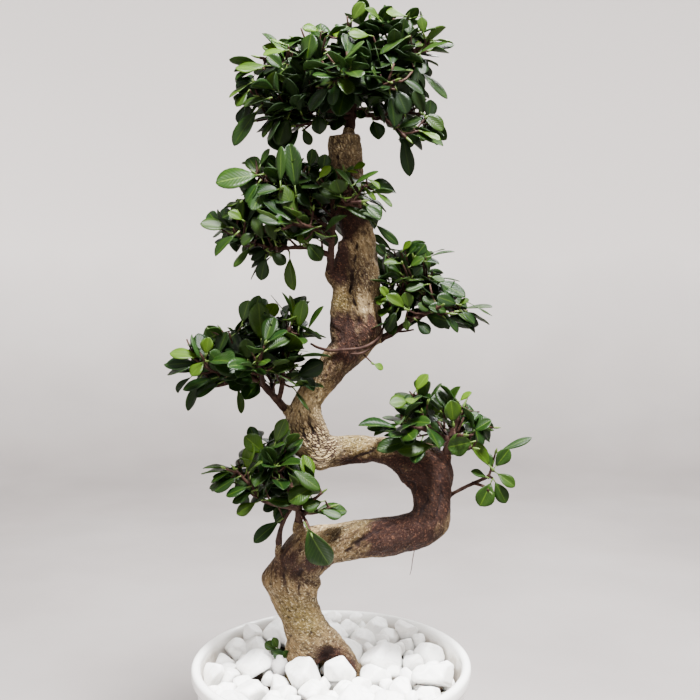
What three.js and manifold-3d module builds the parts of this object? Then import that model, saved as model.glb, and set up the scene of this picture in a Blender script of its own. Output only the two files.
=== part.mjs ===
// Ginseng ficus trained into an S, with six clipped leaf pads, in a round white pot under white
// pebbles. Millimetres, +Z up. The origin is on the ground under the pot's axis, and the front of
// the plant faces -Y.
import * as THREE from 'three';
import { mergeVertices } from 'three/addons/utils/BufferGeometryUtils.js';
import Module from 'manifold-3d';

const wasm = await Module();
wasm.setup();

// Driving dimensions
const CLEARANCE = 0.35;          // between two pieces that touch

const POT_HEIGHT = 250;
const RIM_RADIUS = 160;
const BASE_RADIUS = 128;
const BASE_CHAMFER = 4;
const WALL = 5;
const LIP_HEIGHT = 16;
const LIP_OVERHANG = 5;
const LIP_ROUNDING = 5;
const FLOOR_THICKNESS = 9;
const POT_SIDES = 32;

const SOIL_LEVEL = 204;          // flat in the front half of the pot
const SOIL_SLOPE = 0.2;          // and rising towards the back
const PEBBLE_LIFT = 16;          // from the soil to the middle of a pebble that fills the bed
const PEBBLE_FLATNESS = 0.76;
const FILL_SIZES = [21, 19, 16]; // radii of the pebbles that fill the bed, tried in this order
const FILL_SPOTS = 320;
const FILL_CROWDING = 0.9;       // how close two pebbles may come, as a share of their radii
const ROOT_MARGIN = 0.5;         // from a pebble to a root

const GOLDEN_ANGLE = 2.399963;
const TRUNK_SIDES = 12;
const ROOT_SIDES = 8;
const ROOT_RINGS = 1.5;          // rings of a root for each of its stations
const STRAND_SIDES = 6;
const STUB_SIDES = 6;
const STUB_FLARE = 1.7;          // a stub's radius inside the trunk, as a share of its branch's
const STUB_COLLAR = 1.15;        // and a little before the joint,
const COLLAR_GAP = 8;            // this far from it
const TWIG_SIDES = 3;
const TIP_RADIUS = 1.6;          // where a twig ends
const LEAF_LENGTH = 47;          // stalk included
const LEAF_WIDTH = 24;
const LEAF_THICKNESS = 1.3;
const LEAF_ARCH = 0.14;          // sag of the tip, as a share of the length
const LEAF_SPACING = 8;          // between the buds along a twig
const FEWEST_LEAVES = 4;         // on a branch
const FIRST_SPREAD = 72;         // degrees from the twig to its first leaf
const LAST_SPREAD = 28;          // and to the leaf at its tip
const SPREAD_RANGE = 16;
const LEAF_SAG = 0.15;           // how far a leaf turns downward
const LEAF_STEPS = 40;           // places along a branch where a leaf can grow
const LEAF_ROOM = 13;            // between two leaves, at the probes along their midribs
const LEAF_PROBES = [0.35, 0.6, 0.9];
const WOOD_PROBES = [0.45, 0.75, 1];
const LEAF_CLEARANCE = 7;        // from a leaf's midrib to bark or to another pad
// Half width of a leaf along its length: a stalk, a wedge-shaped base and a blunt tip
const LEAF_OUTLINE = [[0, 0.08], [0.3, 0.64], [0.66, 1], [1, 0]];

// Trunk from the roots to the sawn top, as [x, y, z, radius]
const TRUNK = [
  [-10, 21, 241, 20], [-20, 22, 256, 25], [-32, 22, 277, 24], [-39, 20, 298, 23.5], [-44, 16, 318, 26],
  [-45, 14, 336, 28.5], [-42, 12, 352, 26], [-33, 8, 366, 24], [-17, 4, 376, 22],
  [4, 0, 383, 21.5], [26, -4, 388, 21.5], [55, -8, 393, 22], [80, -10, 397, 20.5],
  [101, -12, 405, 21], [112, -12, 422, 20.5], [112, -10, 443, 20.5], [107, -6, 461, 21.5],
  [94, -2, 477, 20], [74, 2, 487, 16], [47, 5, 492, 14.5], [24, 8, 490, 16.5],
  [3, 10, 488, 18], [-13, 10, 490, 20], [-24, 10, 503, 23.5], [-30, 8, 525, 21.5],
  [-26, 6, 548, 15.5], [-12, 5, 569, 15.5], [2, 4, 588, 17], [17, 4, 604, 20],
  [29, 5, 621, 22], [35, 5, 640, 20.5], [35, 6, 674, 20.5], [32, 6, 719, 19.5],
  [28, 6, 747, 17.5], [24, 7, 769, 17], [20, 8, 792, 18], [17, 8, 814, 19],
  [16, 8, 832, 18.5], [15, 8, 847, 17],
];
// Roots that spread under the pebbles; the first one stands deep in the soil
const ROOTS = [
  [[-32, 22, 268, 19], [-38, 22, 246, 17], [-40, 22, 224, 15.5], [-40, 22, 130, 15.5]],
  [[-20, 20, 268, 20], [0, 20, 252, 18], [15, 21, 235, 15], [23, 22, 218, 12], [27, 22, 176, 9]],
  [[-28, 28, 268, 17], [-20, 44, 250, 14], [-14, 56, 226, 11], [-12, 60, 180, 8]],
];
// A second strand grown onto the upper trunk, and the ridge along the lower bend
const STRANDS = [
  [[11, 2, 606, 9], [9, -3, 628, 10], [10, -4, 652, 10.5], [12, -4, 676, 11.5],
    [13, -3, 700, 10.5], [17, -1, 728, 9]],
  [[-22, -6, 362, 9], [2, -12, 378, 10], [28, -16, 394, 10], [56, -18, 400, 10],
    [84, -18, 402, 9]],
];
// Healed knots and old cuts that swell the bark, as [x, y, z, spread, height]
const SWELLINGS = [
  [-74, 10, 340, 16, 8], [-12, 0, 352, 12, 6], [-14, 8, 330, 12, 6], [-2, 6, 288, 13, 6],
  [4, 8, 274, 10, 5], [-30, -4, 388, 20, 10], [-12, -6, 470, 12, 8], [-46, 6, 506, 16, 5],
  [112, -12, 486, 22, 12], [132, -12, 466, 16, 8], [82, -14, 468, 16, 6], [126, -18, 410, 16, 5],
  [50, -4, 626, 16, 5], [4, -4, 836, 12, 5], [-8, -16, 540, 14, 4], [60, -26, 396, 18, 4],
  [-60, 34, 330, 18, 6], [40, 26, 690, 18, 4], [120, 12, 440, 16, 5],
];

const barkMaterial = () => new THREE.MeshStandardMaterial({ color: '#8b6d47', roughness: 0.85 });
const leafMaterial = () => new THREE.MeshStandardMaterial({ color: '#2f6a26', roughness: 0.4 });
const potMaterial = () => new THREE.MeshStandardMaterial({ color: '#f1f0ec', roughness: 0.25 });
const soilMaterial = () => new THREE.MeshStandardMaterial({ color: '#35281d', roughness: 1 });
const stoneMaterial = () => new THREE.MeshStandardMaterial({ color: '#eceae4', roughness: 0.6 });

// A leafy branch: its radius where it starts, the bare share of it, and its route. One that grows
// from the trunk also has a seat, the point inside the trunk where its stub starts.
const branch = (radius, bare, ...route) => ({ radius, bare, route });
const fromTrunk = (seat, radius, bare, ...route) => ({ seat, radius, bare, route });

// The leaf pads
const PADS = {
  leaves_crown: [
    fromTrunk([18, 8, 838], 6.5, 0.6, [20, 8, 852], [24, 8, 872], [25, 6, 893], [22, 12, 926],
      [21, 8, 960]),
    branch(3.6, 0.3, [24, 8, 873], [-6, -12, 872], [-38, -25, 872], [-76, -38, 880]),
    branch(3.6, 0.3, [24, 6, 889], [-7, 0, 909], [-40, -8, 920], [-78, -14, 928]),
    branch(3.6, 0.3, [24, 6, 891], [46, 0, 914], [76, -10, 928], [106, -14, 941]),
    branch(3.4, 0.3, [25, 8, 870], [49, -18, 864], [67, -32, 852], [82, -42, 836]),
    branch(3.2, 0.3, [24, 6, 889], [17, 45, 913], [7, 82, 934]),
    branch(3.2, 0.3, [24, 6, 889], [21, -40, 895], [13, -76, 896]),
    branch(3.2, 0.3, [24, 6, 889], [51, 42, 910], [83, 66, 920]),
    branch(3.2, 0.3, [24, 6, 889], [-16, 38, 907], [-55, 62, 911]),
    branch(2.8, 0.3, [23, 8, 868], [-6, -15, 860], [-38, -34, 850]),
    branch(2.8, 0.4, [24, 8, 876], [-30, 6, 874], [-82, -12, 860]),
    branch(2.8, 0.4, [25, 8, 876], [60, 8, 876], [98, 2, 870]),
    branch(3, 0.3, [24, 6, 889], [45, -35, 888], [69, -60, 892]),
    branch(3, 0.3, [23, 10, 909], [-4, 22, 942], [-38, 26, 958]),
    branch(3, 0.3, [23, 10, 909], [50, 18, 944], [77, 16, 966]),
  ],
  leaves_second: [
    fromTrunk([12, -3, 676], 5, 0.55, [-1, -9, 694], [0, -14, 714], [2, -17, 733], [3, -17, 755],
      [-1, -15, 778]),
    branch(3, 0.3, [2, -16, 738], [-23, -22, 757], [-48, -28, 776], [-82, -30, 800]),
    branch(3.2, 0.25, [1, -12, 711], [-16, -22, 718], [-36, -28, 720], [-66, -30, 719],
      [-104, -32, 734]),
    branch(3, 0.3, [2, -16, 745], [-15, 12, 771], [-36, 28, 793], [-58, 38, 813]),
    branch(2.6, 0.3, [1, -15, 770], [17, -30, 779], [40, -36, 786]),
    branch(2.6, 0.3, [3, -17, 754], [15, -40, 765], [34, -52, 767]),
    branch(3, 0.3, [2, -16, 738], [-35, 6, 750], [-72, 14, 755], [-112, 10, 754]),
    branch(2.8, 0.3, [2, -16, 745], [-8, 34, 765], [-14, 68, 785]),
    branch(2.8, 0.3, [1, -15, 726], [-19, -48, 739], [-40, -68, 744]),
  ],
  leaves_upper_right: [
    fromTrunk([36, 8, 612], 4.6, 0.4, [57, 14, 618], [70, 18, 624], [84, 22, 633], [101, 22, 646],
      [123, 20, 652], [146, 16, 657]),
    branch(3.6, 0.35, [66, 17, 622], [70, 26, 649], [81, 32, 673], [89, 36, 692], [93, 38, 706]),
    branch(2.8, 0.3, [80, 31, 669], [102, 20, 679], [127, 14, 682]),
    branch(2.6, 0.4, [85, 34, 684], [76, 50, 702], [68, 60, 714]),
    branch(2.8, 0.3, [77, 30, 664], [91, 62, 676], [101, 84, 689]),
    branch(2.8, 0.3, [101, 22, 646], [114, -8, 650], [122, -28, 656]),
  ],
  leaves_left: [
    fromTrunk([-32, 7, 526], 5, 0.3, [-52, 3, 538], [-65, -6, 554], [-76, -10, 567],
      [-91, -14, 576], [-106, -18, 580], [-130, -26, 584], [-150, -32, 598]),
    branch(3.4, 0.3, [-60, -3, 547], [-55, -14, 565], [-53, -20, 584], [-52, -22, 608],
      [-44, -24, 634]),
    branch(2.8, 0.3, [-91, -14, 576], [-106, -10, 602], [-123, -10, 628]),
    branch(2.8, 0.3, [-76, -10, 567], [-81, 0, 594], [-80, 5, 630]),
    branch(2.8, 0.3, [-65, -6, 554], [-72, 30, 571], [-85, 62, 588]),
    branch(2.8, 0.3, [-76, -10, 567], [-76, -44, 584], [-77, -66, 597]),
    branch(2.8, 0.3, [-91, -14, 576], [-113, 22, 585], [-134, 46, 594]),
    branch(2.4, 0.3, [-101, -17, 579], [-114, -20, 570], [-130, -20, 566]),
  ],
  leaves_right: [
    fromTrunk([116, -10, 466], 5.4, 0.5, [130, -12, 489], [134, -14, 505], [141, -12, 523],
      [149, -8, 541]),
    branch(3.6, 0.3, [134, -14, 504], [111, -20, 516], [91, -24, 521], [69, -28, 518]),
    branch(3, 0.3, [112, -20, 516], [102, -14, 537], [98, -10, 556]),
    branch(3, 0.3, [138, -13, 514], [160, 2, 518], [186, 8, 516]),
    branch(3, 0.3, [133, -13, 500], [134, 30, 505], [130, 58, 513]),
    branch(2.8, 0.3, [135, -14, 508], [137, -44, 515], [144, -56, 517]),
    branch(2.6, 0.3, [133, -13, 500], [147, -30, 500], [156, -38, 500]),
  ],
  leaves_right_sprig: [
    fromTrunk([116, -11, 436], 2.4, 0.5, [137, -14, 444], [150, -18, 452], [166, -20, 460],
      [176, -22, 466], [180, -22, 478]),
    branch(1.9, 0.2, [160, -19, 457], [170, -26, 455], [176, -30, 450]),
  ],
  leaves_lower_left: [
    fromTrunk([-33, 0, 384], 5.6, 0.5, [-37, -13, 410], [-36, -18, 424], [-38, -21, 440],
      [-44, -23, 459]),
    fromTrunk([-58, 8, 350], 4, 1, [-60, -6, 384], [-58, -10, 400], [-52, -15, 416],
      [-40, -20, 434]),
    branch(3.6, 0.3, [-36, -19, 428], [-59, -26, 434], [-77, -32, 442], [-90, -36, 459],
      [-104, -40, 476]),
    branch(3, 0.3, [-37, -20, 436], [-21, -34, 441], [-9, -44, 452]),
    branch(2.2, 0.4, [-36, -18, 426], [-28, -38, 420], [-22, -50, 410]),
    branch(3, 0.3, [-36, -18, 424], [-18, -28, 426], [0, -32, 433]),
    branch(3, 0.3, [-41, -22, 450], [-51, 14, 463], [-62, 40, 482]),
    branch(3, 0.3, [-41, -22, 450], [-61, -27, 471], [-80, -29, 489]),
    branch(3, 0.3, [-38, -21, 440], [-38, 18, 444], [-37, 48, 458]),
  ],
};

// The pebbles that show best, as [x, y, z, width, height]
const CHOSEN_PEBBLES = [
  [-102, 88, 244, 25, 26], [-120, 62, 236, 27, 22], [-96, 74, 234, 30, 22], [-93, 21, 231, 42, 34],
  [-136, -2, 230, 22, 32], [-118, 6, 222, 27, 24], [-119, -24, 218, 26, 22],
  [-89, -34, 221, 36, 28], [-61, -8, 219, 24, 26], [-32, -5, 235, 44, 36], [-53, -33, 219, 28, 22],
  [9, -6, 235, 34, 33], [-21, -36, 222, 35, 24], [16, -24, 219, 24, 28], [34, -16, 221, 24, 24],
  [51, 4, 226, 32, 24], [60, 36, 236, 50, 26], [95, 38, 227, 26, 24], [39, 85, 236, 30, 28],
  [21, 116, 238, 28, 22], [56, 112, 240, 32, 32], [73, 94, 235, 26, 26], [92, 98, 242, 26, 30],
  [118, 53, 233, 34, 27], [119, -5, 231, 48, 30], [110, -38, 220, 34, 24], [81, -22, 220, 29, 25],
  [52, -25, 216, 24, 22], [-130, 42, 226, 22, 20],
];

// Park-Miller numbers between 0 and 1, the same in every run
function randomNumbers(seed) {
  let state = seed;
  return () => {
    state = (state * 16807) % 2147483647;
    return state / 2147483647;
  };
}

// Closed geometry as a solid that can be joined and cut
function solid(geometry) {
  geometry.deleteAttribute('normal');
  geometry.deleteAttribute('uv');
  const merged = mergeVertices(geometry, 1e-4);
  return new wasm.Manifold(new wasm.Mesh({
    numProp: 3,
    vertProperties: new Float32Array(merged.attributes.position.array),
    triVerts: new Uint32Array(merged.index.array),
  }));
}

const join = (solids) => solids.reduce((whole, next) => whole.add(next));

// The largest connected body of a solid; loose scraps and sealed hollows are dropped
function mainBody(whole) {
  return whole.decompose().sort((a, b) => b.volume() - a.volume())[0];
}

function meshOf(name, body, material) {
  const { vertProperties, triVerts } = body.getMesh();
  const geometry = new THREE.BufferGeometry();
  geometry.setAttribute('position', new THREE.Float32BufferAttribute(vertProperties, 3));
  geometry.setIndex(new THREE.Uint32BufferAttribute(triVerts, 1));
  geometry.computeVertexNormals();
  const mesh = new THREE.Mesh(geometry, material);
  mesh.name = name;
  return mesh;
}

// Moves every vertex of a geometry to where the function puts it
function reshape(geometry, place) {
  const position = geometry.attributes.position;
  const point = new THREE.Vector3();
  for (let i = 0; i < position.count; i += 1) {
    point.fromBufferAttribute(position, i);
    position.setXYZ(i, ...place(point).toArray());
  }
  return geometry;
}

const smoothCurve = (stations) => new THREE.CatmullRomCurve3(
  stations.map(([x, y, z]) => new THREE.Vector3(x, y, z)), false, 'catmullrom', 0.5);

// A smooth route through stations, with a frame and a radius at each of its steps
function route(stations, radii, steps) {
  const curve = smoothCurve(stations);
  const side = new THREE.Vector3(1, 0.3, 0.1);
  return Array.from({ length: steps + 1 }, (_, i) => {
    const t = i / steps;
    const tangent = curve.getTangent(t);
    side.addScaledVector(tangent, -side.dot(tangent)).normalize();
    const span = t * (radii.length - 1);
    const low = Math.min(Math.floor(span), radii.length - 2);
    return {
      centre: curve.getPoint(t),
      tangent,
      side: side.clone(),
      other: new THREE.Vector3().crossVectors(tangent, side),
      radius: THREE.MathUtils.lerp(radii[low], radii[low + 1], span - low),
    };
  });
}

// A cylinder bent along a route, its surface then altered by an optional finish
function limb(rings, sides, finish = (point) => point) {
  const steps = rings.length - 1;
  const bar = new THREE.CylinderGeometry(1, 1, 1, sides, steps);
  return solid(reshape(bar, (p) => {
    const ring = rings[Math.round((p.y + 0.5) * steps)];
    const point = ring.centre.clone()
      .addScaledVector(ring.side, p.z * ring.radius)
      .addScaledVector(ring.other, p.x * ring.radius);
    return Math.hypot(p.x, p.z) > 0.5 ? finish(point, ring.centre) : point;
  }));
}

// Rings along a piece of wood, thickened by a margin
const woodRings = (stations, margin, density) => route(
  stations, stations.map((p) => p[3] + margin), Math.round((stations.length - 1) * density));

const rootLimb = (root, margin) => limb(woodRings(root, margin, ROOT_RINGS), ROOT_SIDES);

// Pushes a point of the bark outward from the limb's axis where a swelling lies near it
function swollen(point, axis) {
  const outward = new THREE.Vector3().subVectors(point, axis).normalize();
  const rise = SWELLINGS.reduce((sum, [x, y, z, spread, height]) => {
    const distance = point.distanceTo(new THREE.Vector3(x, y, z)) / spread;
    return sum + height * Math.exp(-distance * distance);
  }, 0);
  return point.addScaledVector(outward, rise);
}

// The stub on the trunk that carries a branch, up to their joint
function stub({ seat, radius, route: [start, next] }) {
  const joint = new THREE.Vector3(...start);
  const along = new THREE.Vector3(...next).sub(joint).normalize();
  const before = (gap) => joint.clone().addScaledVector(along, -gap).toArray();
  const stations = [seat, before(COLLAR_GAP), before(CLEARANCE)];
  return limb(route(stations, [radius * STUB_FLARE, radius * STUB_COLLAR, radius], 2), STUB_SIDES);
}

const trunkBody = () => mainBody(join([
  limb(woodRings(TRUNK, 0, 1), TRUNK_SIDES, swollen),
  ...ROOTS.map((root) => rootLimb(root, 0)),
  ...STRANDS.map((strand) => limb(woodRings(strand, 0, 1), STRAND_SIDES)),
  ...Object.values(PADS).flat().filter(({ seat }) => seat).map(stub),
]));

// Height of the soil's surface, which rises in the back half
const soilLevel = (y) => SOIL_LEVEL + SOIL_SLOPE * Math.max(0, y);

// Inner radius of the pot at a height
function innerRadius(z) {
  const top = POT_HEIGHT - LIP_HEIGHT;
  return BASE_RADIUS + (RIM_RADIUS - LIP_OVERHANG - BASE_RADIUS) * (z / top) - WALL;
}

function turned(outline) {
  const points = outline.map(([r, z]) => new THREE.Vector2(r, z));
  return solid(new THREE.LatheGeometry(points, POT_SIDES).rotateX(Math.PI / 2));
}

function potBody() {
  const wallTop = POT_HEIGHT - LIP_HEIGHT;
  const lipBottom = wallTop + LIP_ROUNDING / 2;
  const lipShoulder = POT_HEIGHT - LIP_ROUNDING;
  const lipInner = RIM_RADIUS - LIP_OVERHANG - WALL;
  return turned([
    [0, 0], [BASE_RADIUS - BASE_CHAMFER, 0], [BASE_RADIUS, BASE_CHAMFER],
    [RIM_RADIUS - LIP_OVERHANG, wallTop], [RIM_RADIUS, lipBottom], [RIM_RADIUS, lipShoulder],
    [(RIM_RADIUS + lipInner) / 2, POT_HEIGHT], [lipInner, lipShoulder],
    [lipInner, wallTop], [innerRadius(FLOOR_THICKNESS), FLOOR_THICKNESS],
    [0, FLOOR_THICKNESS],
  ]);
}

// The soil fills the pot to its sloping surface, and the roots stand in plain holes in it
function soilBody() {
  const radiusAt = (z) => innerRadius(z) - CLEARANCE;
  const bottom = FLOOR_THICKNESS + CLEARANCE;
  const block = new THREE.CylinderGeometry(1, 1, 1, POT_SIDES, 1).rotateX(Math.PI / 2);
  reshape(block, (p) => {
    const radius = radiusAt(p.z < 0 ? bottom : soilLevel(p.y * innerRadius(SOIL_LEVEL)));
    return new THREE.Vector3(
      p.x * radius, p.y * radius, p.z < 0 ? bottom : soilLevel(p.y * radius));
  });
  return ROOTS.reduce((soil, root) => {
    const [x, y, z, radius] = root.at(-1);
    const deeper = [...root.slice(0, -1), [x, y, z - CLEARANCE, radius]];
    return soil.subtract(rootLimb(deeper, CLEARANCE));
  }, solid(block));
}

// Places of the pebbles: the chosen ones, and more along a spiral wherever there is room
function pebblePlaces() {
  const random = randomNumbers(4021);
  const places = CHOSEN_PEBBLES.map(([x, y, z, width, height]) => ({
    centre: new THREE.Vector3(x, y, z),
    width,
    height,
  }));
  const rootSpots = ROOTS.map((root) => new THREE.Vector4(...root.at(-2)));
  for (const size of FILL_SIZES) {
    const reach = innerRadius(SOIL_LEVEL) - size * 0.8;
    for (let i = 0; i < FILL_SPOTS; i += 1) {
      const distance = reach * Math.sqrt((i + 0.5) / FILL_SPOTS);
      const x = distance * Math.cos(i * GOLDEN_ANGLE);
      const y = distance * Math.sin(i * GOLDEN_ANGLE);
      const away = (p, radius) => Math.hypot(p.x - x, p.y - y) > radius;
      const free = places.every((p) => away(p.centre, FILL_CROWDING * (size + p.width / 2)))
        && rootSpots.every((root) => away(root, root.w + size * 0.7));
      if (free) {
        places.push({
          centre: new THREE.Vector3(x, y, soilLevel(y) + PEBBLE_LIFT + 4 * (random() - 0.5)),
          width: size * (1.9 + 0.3 * random()),
          height: size * 2 * PEBBLE_FLATNESS,
        });
      }
    }
  }
  return places.map((p) => ({ ...p, depth: p.width * (0.8 + 0.2 * random()), turn: random() - 0.5 }));
}

// Flat limits that keep a pebble off its neighbours, the pot, the soil and the roots
function pebbleLimits(pebble, places) {
  const limits = [];
  const limit = (normal, distance) => limits.push({ normal, distance });
  const onSoil = new THREE.Vector3(0, 0, SOIL_LEVEL + CLEARANCE);
  for (const slope of [0, SOIL_SLOPE]) {
    const down = new THREE.Vector3(0, slope, -1).normalize();
    limit(down, down.dot(onSoil));
  }
  const slant = innerRadius(1) - innerRadius(0);
  for (let i = 0; i < POT_SIDES; i += 1) {
    const angle = (i + 0.5) / POT_SIDES * 2 * Math.PI;
    const inset = Math.cos(Math.PI / POT_SIDES);
    const normal = new THREE.Vector3(Math.cos(angle), Math.sin(angle), -slant * inset).normalize();
    const onWall = new THREE.Vector3(
      Math.cos(angle) * innerRadius(0) * inset, Math.sin(angle) * innerRadius(0) * inset, 0);
    limit(normal, normal.dot(onWall) - CLEARANCE);
  }
  for (const other of places) {
    const gap = new THREE.Vector3().subVectors(other.centre, pebble.centre);
    const distance = gap.length();
    if (other !== pebble && distance < pebble.width + other.width) {
      const normal = gap.clone().divideScalar(distance);
      const share = pebble.width / (pebble.width + other.width);
      const between = pebble.centre.clone().addScaledVector(gap, share);
      limit(normal, normal.dot(between) - CLEARANCE / 2);
    }
  }
  for (const root of [...ROOTS, TRUNK.slice(0, 4)]) {
    for (let i = 0; i + 1 < root.length; i += 1) {
      const axis = new THREE.Line3(new THREE.Vector3(...root[i]), new THREE.Vector3(...root[i + 1]));
      const share = axis.closestPointToPointParameter(pebble.centre, true);
      const nearest = axis.at(share, new THREE.Vector3());
      const normal = nearest.clone().sub(pebble.centre).normalize();
      const radius = THREE.MathUtils.lerp(root[i][3], root[i + 1][3], share);
      limit(normal, normal.dot(nearest) - radius - ROOT_MARGIN);
    }
  }
  return limits;
}

// A rounded pebble that reaches down to the soil, flattened where it meets its limits
function pebbleBody(pebble, places) {
  const { centre, width, depth, height, turn } = pebble;
  const limits = pebbleLimits(pebble, places);
  const drop = Math.max(height / 2, centre.z - soilLevel(centre.y));
  const ball = new THREE.SphereGeometry(1, 6, 4).rotateX(Math.PI / 2);
  return solid(reshape(ball, (p) => {
    const offset = new THREE.Vector3(
      p.x * width / 2, p.y * depth / 2, p.z * (p.z > 0 ? height / 2 : drop));
    offset.applyAxisAngle(new THREE.Vector3(0, 0, 1), turn);
    const scale = limits.reduce((least, { normal, distance }) => {
      const outward = normal.dot(offset);
      const room = distance - normal.dot(centre);
      return outward > 0 ? Math.min(least, room / outward) : least;
    }, 1);
    return centre.clone().addScaledVector(offset, scale);
  }));
}

// A leaf blade on its stalk: a three-sided cone flattened to the outline, its midrib raised
function leafBody({ base, along, face, length }) {
  const across = new THREE.Vector3().crossVectors(along, face);
  const cone = new THREE.ConeGeometry(1, 1, 3, LEAF_OUTLINE.length - 1);
  return solid(reshape(cone, (p) => {
    const step = Math.round((p.y + 0.5) * (LEAF_OUTLINE.length - 1));
    const [share, halfWidth] = LEAF_OUTLINE[step];
    const onRim = Math.hypot(p.x, p.z) > 1e-6 ? 1 : 0;
    const crest = onRim && p.z > 0 ? 1 : 0;
    const rise = onRim * (crest ? LEAF_THICKNESS * 0.75 : -LEAF_THICKNESS * 0.25);
    const sideways = onRim * (1 - crest) * Math.sign(p.x) * halfWidth * LEAF_WIDTH / 2;
    return base.clone()
      .addScaledVector(along, share * length)
      .addScaledVector(face, rise - LEAF_ARCH * length * share * share)
      .addScaledVector(across, sideways * length / LEAF_LENGTH);
  }));
}

// Shortest gap from a point to the wood along some lines of [x, y, z, radius]
function gapToWood(point, lines) {
  let least = Infinity;
  for (const line of lines) {
    for (let i = 0; i + 1 < line.length; i += 1) {
      const segment = new THREE.Line3(
        new THREE.Vector3(...line[i]), new THREE.Vector3(...line[i + 1]));
      const share = segment.closestPointToPointParameter(point, true);
      const radius = THREE.MathUtils.lerp(line[i][3], line[i + 1][3], share);
      least = Math.min(least, segment.at(share, new THREE.Vector3()).distanceTo(point) - radius);
    }
  }
  return least;
}

// Leaves along one branch, each a golden angle on from the last, close to the twig at its tip
function leavesOn({ route: stations, bare }, middle, random) {
  const rings = route(stations, [1, 1], LEAF_STEPS);
  const reach = smoothCurve(stations).getLength() * (1 - bare);
  const count = Math.max(FEWEST_LEAVES, Math.round(reach / LEAF_SPACING));
  const start = random() * 2 * Math.PI;
  const leaves = [];
  for (let i = 0; i < count; i += 1) {
    const share = (i + 1) / count;
    const ring = rings[Math.round((bare + (1 - bare) * share) * LEAF_STEPS)];
    const around = start + i * GOLDEN_ANGLE + 0.5 * (random() - 0.5);
    const spread = THREE.MathUtils.degToRad(
      THREE.MathUtils.lerp(FIRST_SPREAD, LAST_SPREAD, share) + SPREAD_RANGE * (random() - 0.5));
    const along = ring.tangent.clone().multiplyScalar(Math.cos(spread))
      .addScaledVector(ring.side, Math.sin(spread) * Math.cos(around))
      .addScaledVector(ring.other, Math.sin(spread) * Math.sin(around));
    along.z -= LEAF_SAG;
    along.normalize();
    const outward = new THREE.Vector3().subVectors(ring.centre, middle).normalize();
    const face = new THREE.Vector3(0.7 * (random() - 0.5), 0.7 * (random() - 0.5), 0.7)
      .addScaledVector(outward, 0.7);
    face.addScaledVector(along, -face.dot(along)).normalize();
    const length = LEAF_LENGTH * (0.82 + 0.36 * random()) * (1 - 0.3 * share ** 4);
    leaves.push({ base: ring.centre, along, face, length });
  }
  return leaves;
}

// A point on a leaf's midrib, at a share of its length
const onMidrib = ({ base, along, face, length }, share) => base.clone()
  .addScaledVector(along, share * length)
  .addScaledVector(face, -LEAF_ARCH * length * share * share);

// Whether a leaf has room of its own beside the leaves that are there already
const hasRoom = (leaf, others) => others.every((other) => LEAF_PROBES.every((share) => (
  LEAF_PROBES.every((otherShare) => (
    onMidrib(leaf, share).distanceTo(onMidrib(other, otherShare)) > LEAF_ROOM)))));

const woodLine = ({ radius, route: stations }) => stations.map((p) => [...p, radius]);

// The leaves of every pad, without those that would grow through another leaf, the trunk or
// another pad's branches
function growLeaves() {
  const grown = {};
  Object.entries(PADS).forEach(([name, branches], i) => {
    const random = randomNumbers(101 + i);
    const ends = branches.map(({ route: stations }) => new THREE.Vector3(...stations.at(-1)));
    const middle = new THREE.Box3().setFromPoints(ends).getCenter(new THREE.Vector3());
    const otherBranches = Object.entries(PADS).filter(([other]) => other !== name)
      .flatMap(([, others]) => others.map(woodLine));
    const wood = [TRUNK, ...ROOTS, ...STRANDS, ...otherBranches];
    grown[name] = [];
    for (const each of branches.filter(({ bare }) => bare < 1)) {
      for (const leaf of leavesOn(each, middle, random)) {
        const clear = WOOD_PROBES.every(
          (share) => gapToWood(onMidrib(leaf, share), wood) > LEAF_CLEARANCE);
        if (clear && hasRoom(leaf, Object.values(grown).flat())) {
          grown[name].push(leaf);
        }
      }
    }
  });
  return grown;
}

// One pad: its branches and twigs with every leaf grown onto them
function padBody(branches, leaves) {
  const wood = branches.map(({ radius, route: stations }) => limb(
    route(stations, [radius, TIP_RADIUS], stations.length - 1), TWIG_SIDES));
  return mainBody(join([...wood, ...leaves.map(leafBody)]));
}

const plant = new THREE.Group();
plant.add(meshOf('pot', potBody(), potMaterial()));
plant.add(meshOf('soil', soilBody(), soilMaterial()));
plant.add(meshOf('trunk', trunkBody(), barkMaterial()));
const leaves = growLeaves();
Object.entries(PADS).forEach(([name, branches]) => {
  plant.add(meshOf(name, padBody(branches, leaves[name]), leafMaterial()));
});
const bed = pebblePlaces();
bed.forEach((pebble, i) => {
  const name = `pebble_${String(i + 1).padStart(2, '0')}`;
  plant.add(meshOf(name, pebbleBody(pebble, bed), stoneMaterial()));
});

export default plant;
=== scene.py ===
"""Ginseng ficus trained into an S, with clipped leaf pads, in a round white pot of marble pebbles.

The solids stay the frame. Each one is dressed by a finer piece that keeps its form. Pieces are
modelled in millimetres and scaled to metres when they are finished.
"""

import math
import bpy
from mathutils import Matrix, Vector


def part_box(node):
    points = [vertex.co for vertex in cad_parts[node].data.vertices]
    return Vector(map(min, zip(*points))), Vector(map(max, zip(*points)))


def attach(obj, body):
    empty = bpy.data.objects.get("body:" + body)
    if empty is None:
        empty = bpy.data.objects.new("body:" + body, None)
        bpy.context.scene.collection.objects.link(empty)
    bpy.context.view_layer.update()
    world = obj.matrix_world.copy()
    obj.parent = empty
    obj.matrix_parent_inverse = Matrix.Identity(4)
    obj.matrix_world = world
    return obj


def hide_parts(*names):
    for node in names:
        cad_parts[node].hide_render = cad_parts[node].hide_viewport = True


bl_info = {
    "name": "Ginseng ficus",
    "version": (1, 0, 0),
    "blender": (4, 5, 0),
    "location": "View3D > Sidebar > Ficus",
    "description": "Builds a potted ginseng ficus: bark, leaf pads, glazed pot, soil and pebbles",
    "category": "Add Mesh",
}

from collections import namedtuple
from functools import partial

import bmesh
import bpy
from bpy.props import FloatProperty, FloatVectorProperty, IntProperty, PointerProperty
from mathutils import Quaternion, Vector, noise
from mathutils.kdtree import KDTree

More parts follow.
